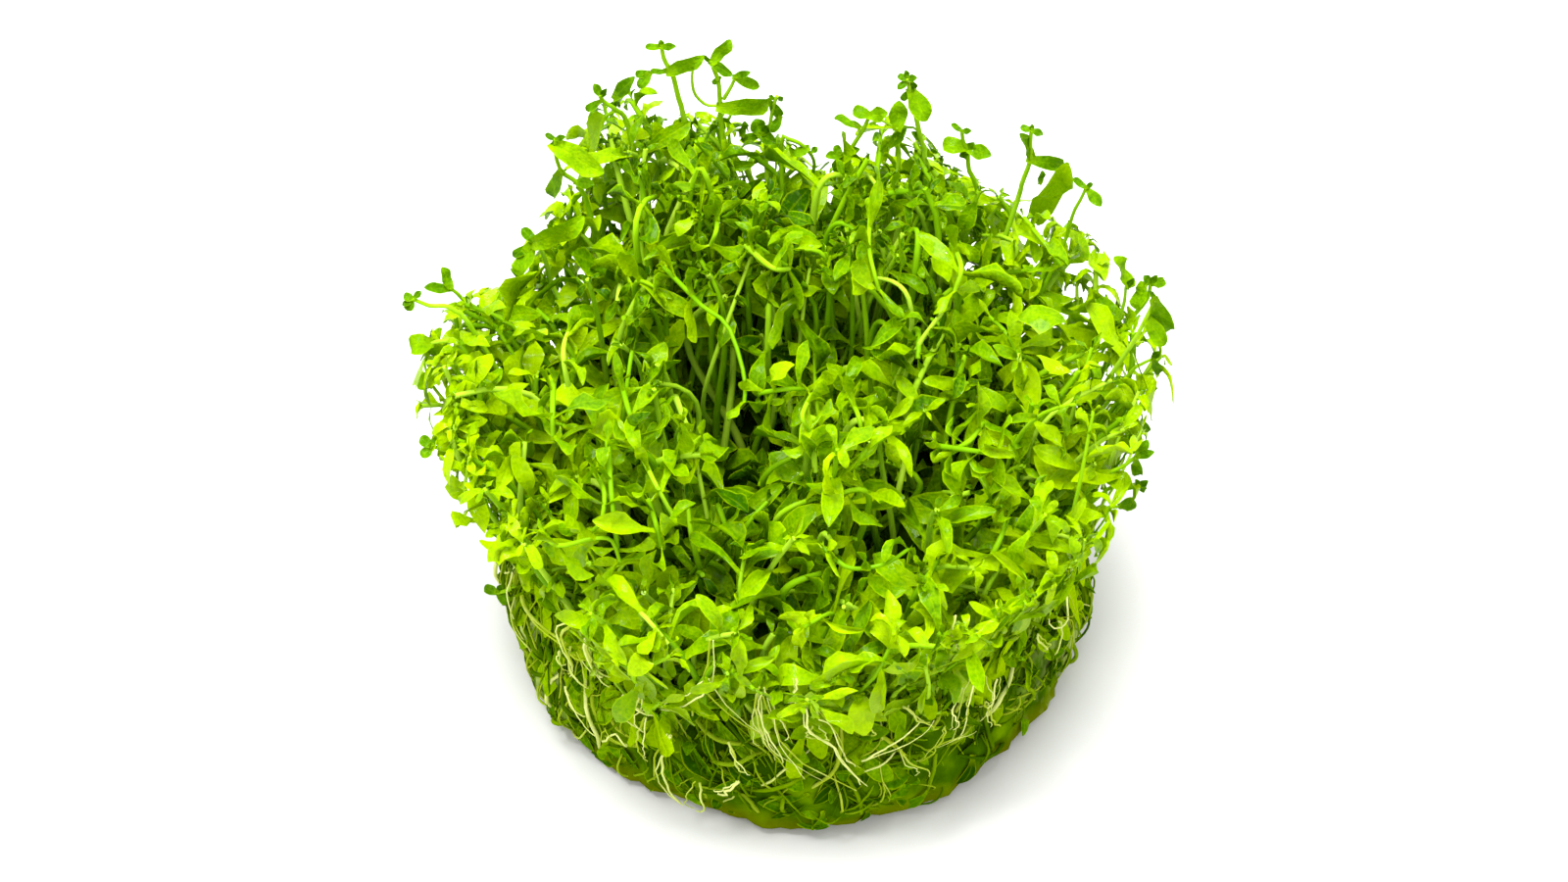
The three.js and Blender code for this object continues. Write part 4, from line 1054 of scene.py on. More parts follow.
# The sprigs round the rim, in mm: how far to the back (y), the stems from the tip down (the radius, then
# points of x and z) and the leaves (x and z of the foot, the tip, the width, the curl in radians and the
# turn in degrees). The points were picked by eye on the photograph, and a scratch script turned them
# into millimetres.
SPRIGS = {
    1: (26, [
        (0.3, [(-14, 58.8), (-13.8, 57.1), (-13.3, 55.7), (-12.9, 54.5), (-12.5, 51.7), (-11.9, 48)]),
    ], [
        ((-14, 58.8), (-15.7, 26, 58.9), 0.6, 0.3, 0), ((-14, 58.8), (-12.5, 26, 58.8), 0.6, 0.3, 0),
        ((-14, 58.7), (-14.1, 26, 60), 0.5, 0.2, 0), ((-13.2, 55.5), (-9.7, 26.8, 56.4), 1.3, 1, 50),
        ((-13.3, 55.2), (-15.4, 25.9, 55.1), 0.7, 0.5, 45),
        ((-15.3, 54.9), (-16.4, 25.8, 52.8), 0.9, 0.6, 0),
        ((-15.3, 54.9), (-16.8, 26, 54.8), 0.7, 0.5, 0),
    ]),
    2: (26.5, [
        (0.28, [(-9.1, 56.3), (-8.7, 54.8), (-8.3, 53.1), (-8.2, 50), (-8.1, 46.6)]),
        (0.22, [(-6.6, 53.8), (-7, 52.5), (-7.8, 50.6)]),
        (0.18, [(-10.5, 56.1), (-10.9, 55.1), (-11, 53.1), (-10.7, 51.2), (-9.6, 49.7), (-8.4, 49.6)]),
    ], [
        ((-8.9, 56.3), (-7, 26.8, 59.3), 1.2, 0.3, 50), ((-8.9, 56), (-6.8, 25.5, 55), 0.9, 0.4, 35),
        ((-6.6, 53.8), (-4.1, 25.8, 53.3), 0.9, 0.4, 25), ((-6.6, 54), (-5, 26.7, 54.3), 0.6, 0.4, 25),
        ((-8.1, 53.8), (-8.9, 26.1, 53.3), 0.5, 0.4, 0), ((-9.1, 56.1), (-10, 26.7, 56.8), 0.4, 0.3, 0),
        ((-8, 49.6), (-3.2, 26.9, 50), 1.6, 1.3, 55),
    ]),
    3: (28.5, [
        (0.26, [(-2.3, 48.9), (-2.7, 47.4), (-2.9, 45.9), (-3.2, 43.1), (-3.5, 40.8)]),
        (0.18, [(-4.3, 46.2), (-5.3, 47.1), (-6.7, 46.8), (-7.3, 45.5), (-7.4, 44)]),
        (0.24, [(1.4, 36.5), (1.6, 38.5), (1.2, 40), (0.2, 41.5), (-1, 42.2), (-1.9, 41.8)]),
    ], [
        ((-2.3, 48.7), (-1.7, 28.4, 48.4), 0.4, 0.3, 0), ((-2.6, 48.4), (-3.2, 28.7, 48.7), 0.4, 0.3, 0),
        ((-3.2, 48.2), (-1.9, 28.1, 46.2), 0.8, 0.6, 15), ((-2, 45.6), (-2.9, 28.1, 43.6), 0.8, 0.5, 0),
        ((-4.1, 43.1), (-4.6, 28.9, 45.1), 1.3, 0.3, 0), ((-4.1, 42.9), (-2.4, 27.9, 42.2), 1, 0.5, 0),
        ((-4.1, 42.9), (-6.1, 28.2, 42.5), 0.8, 0.5, 0), ((-3.9, 43.1), (-3, 28.8, 44.1), 0.7, 0.3, 0),
        ((-6.1, 42.9), (-5.7, 28.5, 45.2), 0.8, 0.2, 60), ((0.9, 40.9), (-0.6, 28.1, 40.1), 0.9, 0.5, 0),
        ((1.3, 40.2), (1.9, 28.7, 40.9), 0.5, 0.3, 0),
    ]),
    4: (26, [
        (0.28, [(-20.5, 51.7), (-20.1, 50.7), (-18.9, 49.5), (-17.8, 47.4)]),
        (0.2, [(-20.3, 47.9), (-19.6, 48.9), (-18.8, 49.4)]),
    ], [
        ((-20.4, 51.6), (-21.1, 26.2, 53.3), 0.7, 0.3, 0),
        ((-20.4, 51.4), (-19.7, 26.3, 52.3), 0.5, 0.3, 0), ((-20.5, 50.7), (-22, 25.5, 50), 0.7, 0.4, 0),
        ((-18.9, 51.4), (-16.8, 26.7, 53.5), 1.1, 0.5, 0),
        ((-20.3, 47.9), (-21.9, 26, 41.1), 2.4, 0.6, 70),
    ]),
    5: (22, [
        (0.28, [(-25, 49.4), (-25.1, 47.2), (-24.6, 44.5), (-23.1, 42.8), (-22.3, 40.5), (-21.9, 38.1)]),
    ], [
        ((-25, 49.3), (-26.1, 22.3, 49.9), 0.5, 0.3, 0), ((-25, 49.4), (-23.9, 22.1, 49.6), 0.5, 0.3, 0),
        ((-25, 49.3), (-25.5, 21.7, 48.4), 0.4, 0.3, 0), ((-24.8, 48.5), (-20, 20.2, 45.9), 2, 0.7, 30),
        ((-24.6, 44.3), (-25.8, 22, 40.7), 1.3, 0.4, 20),
        ((-23.1, 42.8), (-21.2, 21.8, 42.6), 0.9, 0.5, 0),
    ]),
    6: (17, [
        (0.28, [(-27.3, 39.3), (-26.9, 38.2), (-26.5, 36.5), (-26.2, 34.3), (-25.7, 31.5)]),
        (0.22, [(-31.4, 30.4), (-30.9, 31.3), (-30.4, 32.4), (-29.5, 33.4), (-28.2, 33.7), (-26.9, 33)]),
    ], [
        ((-27.4, 39.3), (-28.8, 17.5, 40.7), 0.9, 0.4, 0),
        ((-27.6, 38.4), (-29.2, 16.6, 34), 1.6, 0.6, 30),
        ((-27.7, 38.5), (-29.8, 16.4, 37.6), 0.8, 0.6, 5),
        ((-27.1, 39.6), (-22.1, 18.3, 41.4), 1.9, 1.3, 55),
        ((-27.4, 35.2), (-27.4, 16.8, 32.8), 0.8, 0.4, 30),
        ((-29.1, 33.7), (-30.1, 17.3, 34.5), 0.6, 0.3, 0),
        ((-29.1, 33.4), (-28.2, 16.6, 32.4), 0.6, 0.3, 0),
        ((-31.4, 30.4), (-32.3, 16.9, 30), 0.5, 0.3, 0),
    ]),
    7: (9.5, [
        (0.26, [(-35.8, 40.6), (-35.1, 39.8), (-34.4, 38.6), (-33.3, 37.5), (-31.9, 36.1)]),
    ], [
        ((-35.8, 40.7), (-36.5, 9.8, 43.6), 1, 0.3, 40),
        ((-35.9, 40.4), (-38.3, 9.6, 40.5), 0.9, 0.4, 0),
        ((-34.4, 38.4), (-35.3, 9.2, 37.8), 0.6, 0.4, 0),
        ((-34.4, 38.6), (-33.4, 9.7, 38.9), 0.6, 0.4, 0),
    ]),
    8: (2.5, [
        (0.28, [(-38.8, 47.1), (-37.9, 46.5), (-37, 46), (-35.5, 46), (-34.7, 45.3), (-33.6, 43.9)]),
        (0.3, [(-37.3, 40.2), (-36, 40.5), (-34.4, 39.9)]),
        (0.3, [(-36.8, 36), (-35.6, 36.8), (-34.2, 36.8)]),
    ], [
        ((-38.7, 47.1), (-39.7, 2.6, 47.5), 0.7, 0.3, 0),
        ((-38.8, 46.9), (-39.3, 2.4, 45.3), 0.8, 0.3, 0),
        ((-38.6, 47.2), (-37.9, 2.7, 48.1), 0.5, 0.3, 0),
        ((-38.9, 46.8), (-39.8, 2.3, 46.3), 0.5, 0.3, 0), ((-37.3, 40.2), (-39.6, 2.3, 40), 1.7, 0.4, 0),
        ((-36.8, 35.8), (-38.9, 1.5, 34), 1.4, 0.5, 0),
    ]),
    9: (-7, [
        (0.26, [(-37.2, 35.4), (-36, 34.8), (-34.5, 33.7)]),
    ], [
        ((-37.2, 35.4), (-38.3, -6.6, 36.3), 0.9, 0.4, 0),
        ((-37.2, 35.2), (-38.1, -7.4, 34), 0.9, 0.4, 0),
        ((-37.1, 35.6), (-36.2, -6.7, 36.5), 0.6, 0.3, 0),
    ]),
    10: (-9, [
        (0.26, [(-31.5, 13.2), (-30.4, 13.7), (-29, 14.4)]),
    ], [
        ((-31.5, 13.2), (-33, -8.6, 13.6), 0.8, 0.4, 0), ((-31.4, 13), (-30.3, -9.5, 12.1), 0.9, 0.4, 0),
        ((-31.5, 13.4), (-31.1, -8.7, 14.2), 0.5, 0.3, 0),
    ]),
    11: (26, [
        (0.28, [(7.2, 48.5), (6.5, 46.2), (5.5, 43.8), (5.2, 41.4), (5.4, 38.3)]),
        (0.2, [(9.5, 47.1), (8.4, 47.9), (7.3, 47.3)]),
    ], [
        ((7.2, 48.6), (5.5, 26.4, 49.1), 1.1, 0.4, 0), ((7.3, 48.6), (9.1, 26.1, 48.7), 1.2, 0.4, 0),
        ((6, 46.8), (3.6, 26.7, 47.7), 0.9, 0.5, 40), ((4.3, 42.6), (2.7, 25.9, 42.4), 0.8, 0.4, 0),
        ((4.2, 41.4), (4.7, 26, 37.3), 1.4, 0.3, 55), ((5.1, 41.4), (5.5, 26, 37.9), 1.2, 0.3, 50),
        ((4.3, 42.8), (3.6, 26.3, 43.7), 0.7, 0.3, 0), ((4.9, 42.9), (6.3, 26.2, 43.2), 0.7, 0.4, 0),
        ((4.7, 42.6), (3.6, 25.7, 40.9), 0.7, 0.4, 0),
    ]),
    12: (26, [
        (0.3, [(11, 54.2), (11.3, 52.3), (11.6, 50.5), (12, 48.6), (12.6, 44.9), (13.1, 42)]),
        (0.26, [(10.1, 46.8), (10, 44.7), (10.4, 42)]),
    ], [
        ((11, 54.1), (10, 26.1, 54.5), 0.6, 0.3, 0), ((11, 54.1), (12, 26, 54.2), 0.6, 0.3, 0),
        ((11, 54.2), (10.8, 26, 55.5), 0.5, 0.2, 0), ((11, 53.8), (10, 25.8, 52.7), 0.6, 0.3, 0),
        ((11.1, 53.8), (11.9, 25.8, 52.8), 0.6, 0.3, 0), ((11.4, 52.3), (13.1, 25.6, 48), 1.6, 0.5, 0),
        ((11.3, 52.3), (10.5, 25.7, 51.3), 0.6, 0.3, 0), ((12.5, 45), (11.6, 26.3, 45.8), 0.6, 0.3, 0),
        ((10.1, 46.8), (10.3, 26.3, 50.8), 1.5, 0.3, 0), ((9.5, 44.1), (11.1, 26.6, 45.9), 0.9, 0.4, 0),
    ]),
    13: (24, [
        (0.28, [(16.7, 48.4), (16.9, 46.8), (17.4, 45.4), (17.6, 42.6), (18.6, 38.4)]),
    ], [
        ((17.1, 45.9), (14.8, 24.3, 46.2), 1.4, 0.4, 0), ((17.5, 45.7), (19.8, 23.4, 45.2), 1.2, 0.4, 0),
        ((16.7, 48.4), (15.6, 24.3, 49.3), 0.5, 0.3, 0), ((16.7, 48.4), (17.7, 24, 48.4), 0.5, 0.3, 0),
        ((17.3, 45.7), (16.9, 23.7, 44.7), 0.7, 0.3, 0), ((17.3, 45.7), (18.1, 24.2, 46.4), 0.6, 0.3, 0),
    ]),
    14: (20, [
        (0.28, [(23.5, 52.9), (23.5, 51.1), (23.6, 49.4), (23.5, 47.7), (22.9, 44.9), (22.6, 42.5)]),
        (0.26, [(24.5, 40.3), (24.2, 38.6), (24.2, 36.8)]),
    ], [
        ((23.5, 52.9), (22.4, 20.2, 53.2), 0.6, 0.3, 0), ((23.6, 52.9), (24.7, 19.8, 52.4), 0.6, 0.3, 0),
        ((23.5, 52.9), (23.6, 20, 53.9), 0.4, 0.2, 0), ((23.5, 48.9), (22.3, 20.3, 52), 1.1, 0.4, 45),
        ((23.6, 48.6), (27.2, 19.7, 48.3), 1.2, 1.1, 35),
        ((24.5, 40.3), (27.3, 20.6, 47.1), 2.5, 0.4, 50), ((24.7, 44.9), (25, 20.2, 46.7), 0.6, 0.3, 35),
    ]),
    15: (16, [
        (0.24, [(29.1, 48.6), (28.7, 47), (28.1, 45.1), (27.7, 42.6), (27.3, 40.1)]),
    ], [
        ((29.1, 48.6), (27.8, 16.5, 49.6), 0.6, 0.5, 0), ((29.3, 48.3), (30.7, 15.4, 46.4), 0.9, 0.4, 0),
        ((29.1, 48.6), (29.8, 16.2, 49.2), 0.4, 0.3, 0),
    ]),
    16: (8.5, [
        (0.26, [(35.7, 42.3), (35.6, 40.5), (35.1, 39), (34.3, 37.4), (33.6, 35.2)]),
        (0.22, [(33.2, 41.9), (33.2, 39.6), (32.9, 37.1), (32.8, 34.9)]),
    ], [
        ((33.4, 42.2), (31.9, 8.5, 46.8), 1.6, 0.3, 65), ((33.3, 41.9), (34, 8.7, 43), 0.5, 0.3, 0),
        ((35.7, 42.3), (35, 8.7, 43.5), 0.7, 0.3, 0), ((35.7, 42.5), (36.3, 8.7, 43.5), 0.6, 0.3, 0),
        ((35.8, 42.3), (37.3, 8.7, 42.6), 0.8, 0.4, 0), ((35.1, 42.2), (34.4, 8.5, 38.2), 1.4, 0.4, 55),
        ((32.8, 37.1), (30.5, 9.4, 38.8), 1.4, 0.5, 0),
    ]),
    17: (1, [
        (0.26, [(35.3, 48.7), (34.8, 46.6), (34.2, 44.3), (33.4, 41.7)]),
        (0.22, [(35.7, 39.5), (34.7, 38.7), (33.6, 37.3)]),
        (0.2, [(35.4, 35.3), (34.6, 34.7), (33.7, 33.5)]),
    ], [
        ((35.3, 48.7), (37.1, 0.6, 44.4), 1.6, 0.4, 45), ((34.9, 45.7), (36.6, 0.7, 41.9), 1.4, 0.5, 30),
        ((35.7, 39.5), (36.6, 0.6, 37.6), 0.7, 0.3, 15), ((35.7, 39.7), (36.4, 1.2, 40.4), 0.6, 0.3, 0),
        ((35.4, 35.4), (36.3, 0.7, 34.5), 0.7, 0.3, 0), ((35.4, 35.4), (35.9, 1.2, 36.1), 0.5, 0.3, 0),
        ((35.3, 29.5), (36.1, 0.7, 28), 0.6, 0.3, 30), ((35.3, 48.9), (34.6, 1.2, 49.8), 0.5, 0.3, 0),
    ]),
    18: (-9, [
        (0.24, [(33.7, 36.2), (32.5, 34.6), (30.5, 32.7)]),
        (0.22, [(34.4, 31.4), (33, 30.9), (31.4, 31.1)]),
        (0.22, [(32.6, 28), (31.4, 27.8), (30.1, 27.5)]),
    ], [
        ((33.8, 36.3), (34.9, -8.6, 38.4), 0.8, 0.3, 10),
        ((33.8, 36.2), (35.5, -8.7, 36.6), 0.7, 0.3, 0),
        ((33.7, 35.9), (34.2, -9.2, 33.4), 0.9, 0.3, 35), ((34.4, 31.4), (35.2, -8.8, 32), 0.6, 0.3, 0),
        ((34.4, 31.4), (35, -9.2, 30.8), 0.5, 0.3, 0), ((34.3, 31.4), (33.9, -8.8, 32.3), 0.5, 0.3, 0),
        ((32.6, 28), (34.3, -8.8, 28.4), 1, 0.4, 0),
    ]),
}

# The sprigs inside the crown and at its back: tip, number of leaf pairs, and leaf length, in mm.
INNER_SPRIGS = {
    19: ((24, -20, 41), 2, 5.2),
    20: ((3.6, -15.5, 45.6), 2, 7.0),
    21: ((17.5, -30, 34.6), 2, 6.0),
    22: ((-20.5, -28.5, 36.2), 2, 5.6),
    23: ((9, 39.5, 32), 2, 5.0),
    24: ((-19, 36, 36.5), 2, 5.2),
}
OUT_AND_UP = np.array([0, -0.55, 0.83])  # the way the rim's blades face
SIGHT = np.array([0, 0.62, -0.78])  # the photograph's line of sight, along which blades turn in and out
FULLER = 1.45  # a blade's true width for the width that shows, because it is cupped


def leaf_between(foot, tip, width, curl, roll):
    """A leaf whose curled blade starts just inside its stem and ends at the given tip."""
    foot = np.array(foot) - 0.12 * (np.array(tip) - foot)
    foot, chord = foot * mm, (np.array(tip) - foot) * mm
    span = np.linalg.norm(chord)
    straight = chord / span
    upper = unit(OUT_AND_UP - straight * np.dot(straight, OUT_AND_UP))
    upper = math.cos(roll) * upper + math.sin(roll) * np.cross(straight, upper)
    along = math.cos(curl / 2) * straight + math.sin(curl / 2) * upper
    above = math.cos(curl / 2) * upper - math.sin(curl / 2) * straight
    arc = span * (curl / 2) / math.sin(curl / 2)
    return (*foot, *along, *above, arc, 0.5 * FULLER * width * mm, curl, 0.3, 0.1, 0.9)


def rooted(points, others):
    """A stem's points, led on into the crown unless the stem springs from another one."""
    last = np.array(points[-1], float)
    if any(np.linalg.norm(np.array(other) - last) < 1.6 for other in others):
        return points
    inside = np.array([0.6 * last[0], 0.6 * last[1], 6])
    return [*points, tuple(last + SPRIG_ROOT * unit(inside - last))]


# Young leaves at the sprigs' tips: a deeper green than the crown's, still yellowish against the light.
sprig_green = leaf_finish(
    "young_pearlweed_leaf",
    [(0.0, "#315c02"), (0.35, "#578804"), (0.7, "#7ba902"), (1.0, "#9bc103")],
    glow="#a2cc02",
    share_through=0.35,
    gloss=0.0,
    wetness=0.1,
)
YOUNG_OUTLINE = [
    (0, 0.42), (0.1, 0.5), (0.25, 0.74), (0.42, 0.96), (0.58, 1),
    (0.74, 0.84), (0.87, 0.56), (0.95, 0.3), (1, 0.06),
]
young_leaf = shape_of(leaf_master("young_leaf_master", YOUNG_OUTLINE), unwrap_leaf)
dice = np.random.default_rng(31)
sprigs = {}
for number, (y, stems, blades) in SPRIGS.items():
    points = [[(x, y, z) for x, z in route] for _, route in stems]
    routes, radii = [], []
    for k, (radius, _) in enumerate(stems):
        others = [point for j, route in enumerate(points) if j != k for point in route]
        routes.append(smooth_route(rooted(points[k], others), STEM_STATIONS))
        radii.append(radius * np.linspace(0.75, 1.05, STEM_STATIONS) * mm)
    leaves = []
    for k, ((x, z), tip, width, curl, roll) in enumerate(blades):
        deep = (-1) ** k * 0.5 * math.hypot(tip[0] - x, tip[2] - z)
        roll = math.radians(OWN_ROLL * roll)
        leaves.append(leaf_between((x, y, z), tip + deep * SIGHT, width, curl, roll))
    shades = [0.04 + 0.36 * width for _, _, width, _, _ in blades]
    sprigs[number] = (leaves, shades, np.array(routes), np.array(radii), sprig_green, young_leaf)
for number, (end, pairs, size) in INNER_SPRIGS.items():
    reach = math.hypot(end[0], end[1])
    share = min(0.74, 25.5 / reach)
    start = (end[0] * share, end[1] * share, 13)
    middle = [0.98 * 0.5 * (start[k] + end[k]) for k in (0, 1)] + [1.04 * 0.5 * (start[2] + end[2])]
    route = smooth_route([start, middle, end], STEM_STATIONS)
    ladder = [(0.7, 0.36 * size, 70), (SPRIG_PAIR_SPACING - 1.5, 0.62 * size, 30)]
    ladder += [(SPRIG_PAIR_SPACING, size * (1 - 0.06 * k), 14 - 8 * k) for k in range(pairs)]
    leaves = leaves_on(route, dice, ladder, 1.0, 0.3)
    radii = np.linspace(0.42, 0.2, STEM_STATIONS)[None] * mm
    sprigs[number] = (leaves, dice.normal(0.5, 0.15, len(leaves)), route[None], radii, leaf_green, leaf)
for number, (leaves, shades, routes, radii, finish, blade) in sprigs.items():
    name = f"sprig_{number:02d}"
    shades = np.clip(shades + dice.normal(0, 0.07, len(leaves)), 0, 1)
    piece = joined(
        name + "_grown",
        [
            (blade, leaf_points(leaves, blade), shades, 0),
            (stem, along_routes(stem, routes, radii), dice.uniform(0.3, 0.7, len(routes)), 1),
        ],
        [finish, stem_green],
    )
    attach(piece, "root")
    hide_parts(name)

# Free roots: white threads that the lower stems have put out into the air, hanging in small bunches over
# the leaves and the mat's wall. Each bunch starts at one place and its threads part as they fall.
ROOTS_OUT = 31.8 * mm  # from the axis to the threads, which lie just outside the wall
# The roots in front: the radius in mm, then points of azimuth in degrees and height in mm. The points
# were picked by eye on the photograph, and a scratch script turned them into angles and heights.
ROOTS = [
    (0.13, [(263.2, 28.8), (263.4, 24.7), (263.7, 21.2), (265.4, 18.2), (268.3, 14.2)]),
    (0.11, [(263.3, 28.3), (264.9, 24.4), (267.5, 19.9)]),
    (0.12, [(263.8, 27.3), (265.4, 22.9), (268.5, 18.4), (272.8, 15.2), (280.4, 10.2)]),
    (0.12, [(263.4, 27.8), (263.8, 23.3), (266.4, 19.3), (267, 15.7)]),
    (0.1, [(263.2, 27.3), (264.3, 20.2), (266.4, 17.2)]),
    (0.13, [(254.1, 35.4), (253.8, 31.3), (253.5, 28.2), (256.9, 24.9), (261.7, 21.8), (263.8, 20.7)]),
    (0.13, [(253.6, 28.7), (252.1, 26.7), (249.2, 24.3), (244.7, 20.8)]),
    (0.15, [(271.4, 25.5), (273.3, 22.2), (276.7, 20.1), (278.4, 15.8), (281.2, 11.2)]),
    (0.12, [(272.7, 25.8), (274, 24.4), (275.9, 22.8), (278.1, 17.4), (279.8, 14.6)]),
    (0.14, [(273.5, 22.4), (272.7, 20.6)]),
    (0.12, [(268.8, 30.6), (268.8, 26)]),
    (0.16, [(237.1, 20.3), (240.2, 20), (242.9, 19.3)]),
    (0.2, [(245.5, 16.8), (243.7, 12), (244.5, 8.2), (247.7, 5)]),
    (0.15, [(251, 10), (250.9, 4.6)]),
    (0.17, [(259.1, 11.8), (255.2, 8.9)]),
    (0.13, [(281.4, 15.4), (285.1, 17.3), (288.7, 18.5), (292.3, 20.1)]),
    (0.15, [(288.5, 23.4), (290.4, 21.3), (293.3, 19.8), (295.4, 17.4)]),
    (0.13, [(280.1, 22.3), (282.9, 19.8)]),
    (0.2, [(225.6, 27), (223.6, 24.7), (224.2, 22.9), (225.6, 21.5), (225.9, 19.6), (223.3, 17.1)]),
    (0.17, [(224.9, 22.4), (226, 20), (227.1, 18.5), (228.2, 17.4)]),
    (0.12, [(225.9, 21.6), (228.2, 22.5), (229.7, 23.6)]),
    (0.22, [(228.5, 26), (229.5, 24), (231, 22.2), (232.3, 21.2)]),
    (0.15, [(228.9, 25.4), (230.9, 23.5), (233.3, 22)]),
    (0.12, [(220.9, 19.8), (221.9, 19), (222.9, 18.4)]),
    (0.25, [(209.3, 21.4), (214.1, 21.9), (218.8, 22.3), (223.1, 22.3)]),
    (0.15, [(240.1, 21.7), (239.2, 19.8), (237.2, 17.7), (238.6, 16.6), (240.4, 15.8)]),
    (0.15, [(241.1, 18.2), (240.6, 15.3), (240.9, 12.8), (241.4, 10.4)]),
    (0.15, [(221.6, 14.1), (224.8, 12.9), (227.2, 11.7)]),
    (0.14, [(231, 9.4), (233.3, 13.4), (234.8, 12.3), (236.6, 11.5)]),
    (0.16, [(256.8, 18.4), (258.2, 15.6), (260, 13.6)]),
    (0.13, [(301, 27.5), (301.2, 24.9), (300.1, 22.8), (299.7, 20.4), (300, 17.7), (300.1, 13.9)]),
    (0.11, [(304.3, 23.6), (302.7, 21.7), (302, 19.5), (301.3, 18.1), (300.3, 16.7)]),
    (0.12, [(299.9, 22.9), (298.2, 21), (298.4, 18.4), (299.1, 16)]),
    (0.12, [(308.3, 20.9), (307.8, 18.5), (306.6, 16.9)]),
    (0.15, [(305.6, 18.1), (306.5, 15.7), (309.8, 11.8)]),
    (0.13, [(296.6, 17.3), (294.5, 15.4), (292.1, 12.7)]),
    (0.13, [(288.3, 16), (289.8, 13.7), (293.7, 11.6), (294.4, 9.3)]),
    (0.12, [(298.3, 35.9), (298.2, 33.5), (299.6, 30.5), (300.3, 28.6)]),
    (0.15, [(318.1, 23.3), (319.2, 20.9), (320, 19.3)]),
    (0.13, [(326.2, 25.9), (326.3, 21.7), (323.5, 22.2), (321.1, 24)]),
    (0.12, [(324.6, 21.6), (324.6, 19.4), (324.5, 16)]),
    (0.1, [(294.2, 14.3), (296.5, 15.6), (301.7, 14.4)]),
]
# Where the photograph doesn't reach there are bunches: azimuth and height at the top and at the bottom,
# and the number of threads.
ROOT_BUNCHES = [
    ((25, 19), (22, 10), 4),
    ((60, 20), (64, 8), 4),
    ((95, 21), (92, 9), 5),
    ((140, 19), (144, 8), 4),
    ((175, 20), (171, 10), 4),
    ((195, 18), (197, 9), 3),
]
dice = np.random.default_rng(41)
courses = []
for (top_azimuth, top), (end_azimuth, end), threads in ROOT_BUNCHES:
    for _ in range(threads):
        share = dice.uniform(0.5, 1)
        drift = dice.normal(0, 2.5)
        side = top_azimuth + dice.normal(0, 1)
        courses.append((side, top, end_azimuth + drift, top - (top - end) * share))
        if dice.random() < 0.5:
            fork = dice.uniform(0.35, 0.7)
            azimuth = top_azimuth + fork * (end_azimuth + drift - top_azimuth)
            start = top - fork * (top - end) * share
            courses.append((azimuth, start, azimuth + dice.normal(0, 6), start - dice.uniform(2, 4.5)))
first, start, last, end = np.array(courses).T[..., None]
t = np.linspace(0, 1, STRAND_STATIONS)[None]
wiggle = wander(dice, len(courses), 0.28) - wander(dice, len(courses), 0.28)[:, :1]
at = np.radians(first + (last - first) * t) + (wiggle - wiggle[:, :1]) / ROOTS_OUT  # all start in place
z = (start + (end - start) * t) * mm
proud = dice.uniform(-0.9, 0.3, (len(courses), 1)) + 0.8 * np.sin(math.pi * t)  # mm, most in the middle
radius = ROOTS_OUT + waist(z) + proud * mm
routes = np.stack([radius * np.cos(at), radius * np.sin(at), z], -1)
shown = [smooth_route([(*point, 0) for point in points], STRAND_STATIONS) for _, points in ROOTS]
shown = np.array(shown) / mm
girth = np.array([girth for girth, _ in ROOTS])
shown = np.concatenate([shown, shown])  # each has a finer root beside it, which parts from it on the way
girth = np.concatenate([0.85 * girth, 0.5 * girth, [0.1] * len(courses)])[:, None] * mm
parting = np.repeat([0, 1], len(ROOTS))[:, None] * dice.normal(0, 0.9, (len(shown), 1)) * t * mm
crinkle = wander(dice, len(shown), 0.2) + dice.normal(0, 0.1, (len(shown), STRAND_STATIONS)) * mm
at = np.radians(shown[..., 0]) + (crinkle + parting) / ROOTS_OUT
radius = ROOTS_OUT + (0.7 * np.sin(math.pi * t) + 0.5) * mm + 0.5 * parting
shown = np.stack([radius * np.cos(at), radius * np.sin(at), shown[..., 1] * mm], -1)
routes = np.concatenate([shown, routes])
root_radii = girth * np.linspace(1.1, 0.6, STRAND_STATIONS)[None]
free_roots = joined(
    "free_roots",
    [(strand, along_routes(strand, routes, root_radii), dice.uniform(0.65, 1, len(routes)), 0)],
    [root_finish],
)
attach(free_roots, "root")

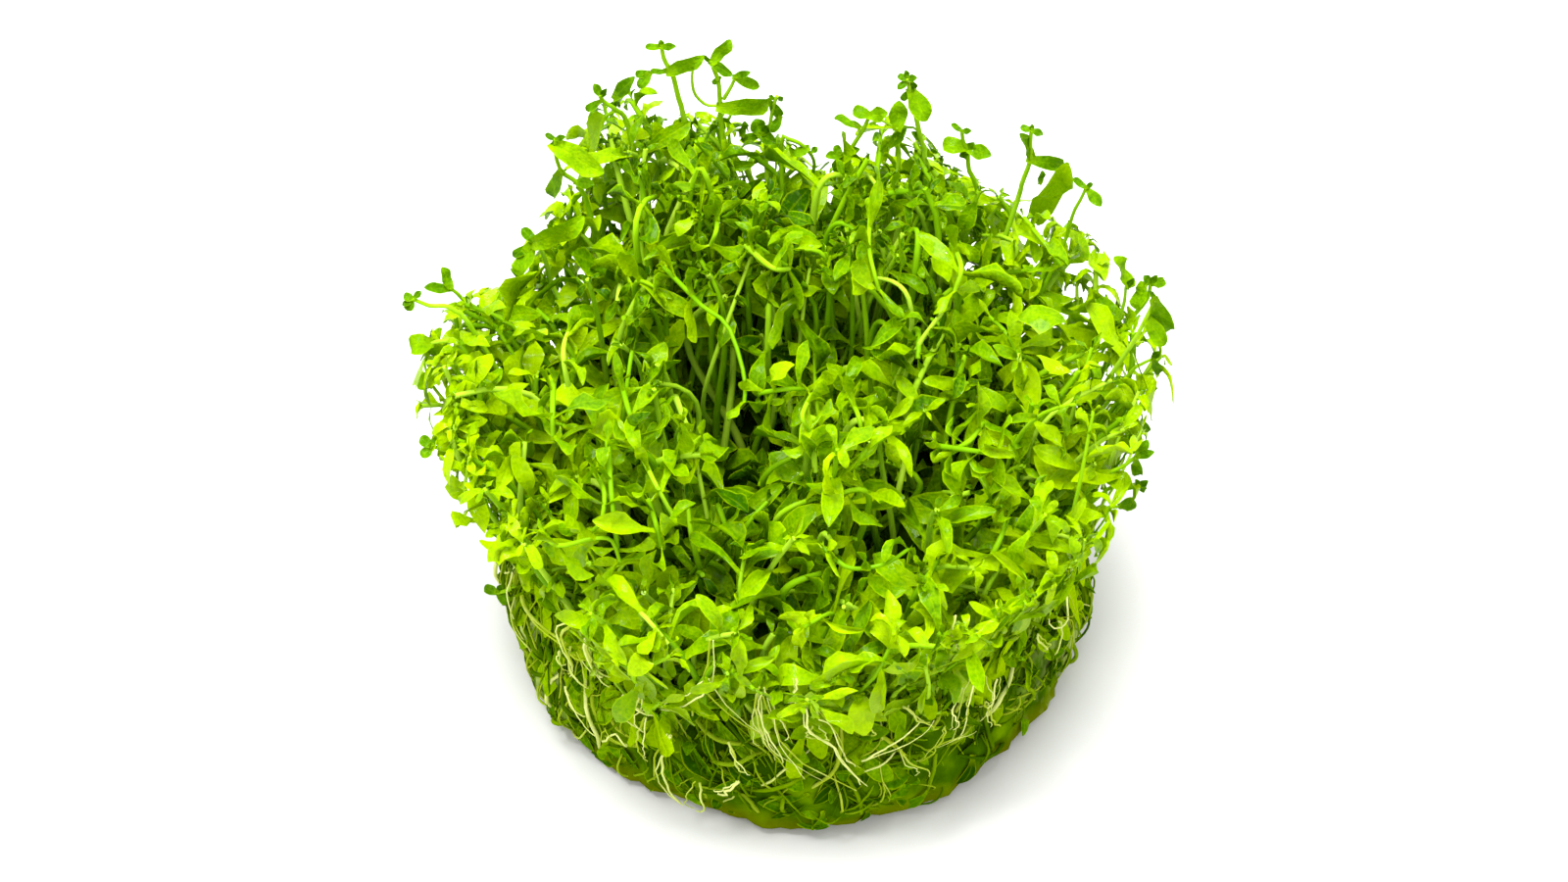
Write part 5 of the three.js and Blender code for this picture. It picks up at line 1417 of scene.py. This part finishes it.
# Studio: a plain white table, soft light from a large overhead panel and white surroundings, and the
# photograph's view, which looks down on the clump at about fifty degrees.
floor = primitive("studio_floor", bpy.ops.mesh.primitive_plane_add, size=3)
white, surface = new_material("white_table")
paper = add(white, "ShaderNodeBsdfPrincipled", {"Base Color": linear("#c8c8c6"), "Roughness": 0.9})
white.node_tree.links.new(paper.outputs["BSDF"], surface.inputs["Surface"])
floor.data.materials.append(white)
floor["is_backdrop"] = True

world = bpy.data.worlds.new("white_surroundings")
bpy.context.scene.world = world
world.use_nodes = True
world.node_tree.nodes["Background"].inputs["Color"].default_value = (1, 1, 1, 1)
world.node_tree.nodes["Background"].inputs["Strength"].default_value = 1.25


def panel(name, place, size, power):
    """A square soft light that faces the clump."""
    lamp = bpy.data.lights.new(name, "AREA")
    lamp.size, lamp.energy = size, power
    stand = bpy.data.objects.new(name, lamp)
    bpy.context.scene.collection.objects.link(stand)
    stand.location = place
    stand.rotation_euler = (Vector((0, 0, 0.03)) - Vector(place)).to_track_quat("-Z", "Y").to_euler()


panel("overhead_panel", (-0.06, 0.04, 0.8), size=0.45, power=13.8)
panel("front_panel", (0.2, -0.6, 0.6), size=0.3, power=1.0)
panel("key_light", (-0.3, -0.15, 0.75), size=0.07, power=1.9)

CAMERA_AIM = Vector((-1.6, 0, 27.4)) * mm
CAMERA_DISTANCE = 449.6 * mm
CAMERA_HEIGHT = math.radians(51.5)  # the angle by which it looks down
camera = bpy.data.cameras.new("camera")
camera.lens, camera.sensor_width = 100, 36
camera.clip_start, camera.clip_end = 0.01, 10
camera_stand = bpy.data.objects.new("camera", camera)
bpy.context.scene.collection.objects.link(camera_stand)
back_and_up = Vector((0, -math.cos(CAMERA_HEIGHT), math.sin(CAMERA_HEIGHT)))
camera_stand.location = CAMERA_AIM + CAMERA_DISTANCE * back_and_up
camera_stand.rotation_euler = (math.pi / 2 - CAMERA_HEIGHT, 0, 0)
bpy.context.scene.camera = camera_stand
bpy.context.scene.view_settings.view_transform = "Standard"

low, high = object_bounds()
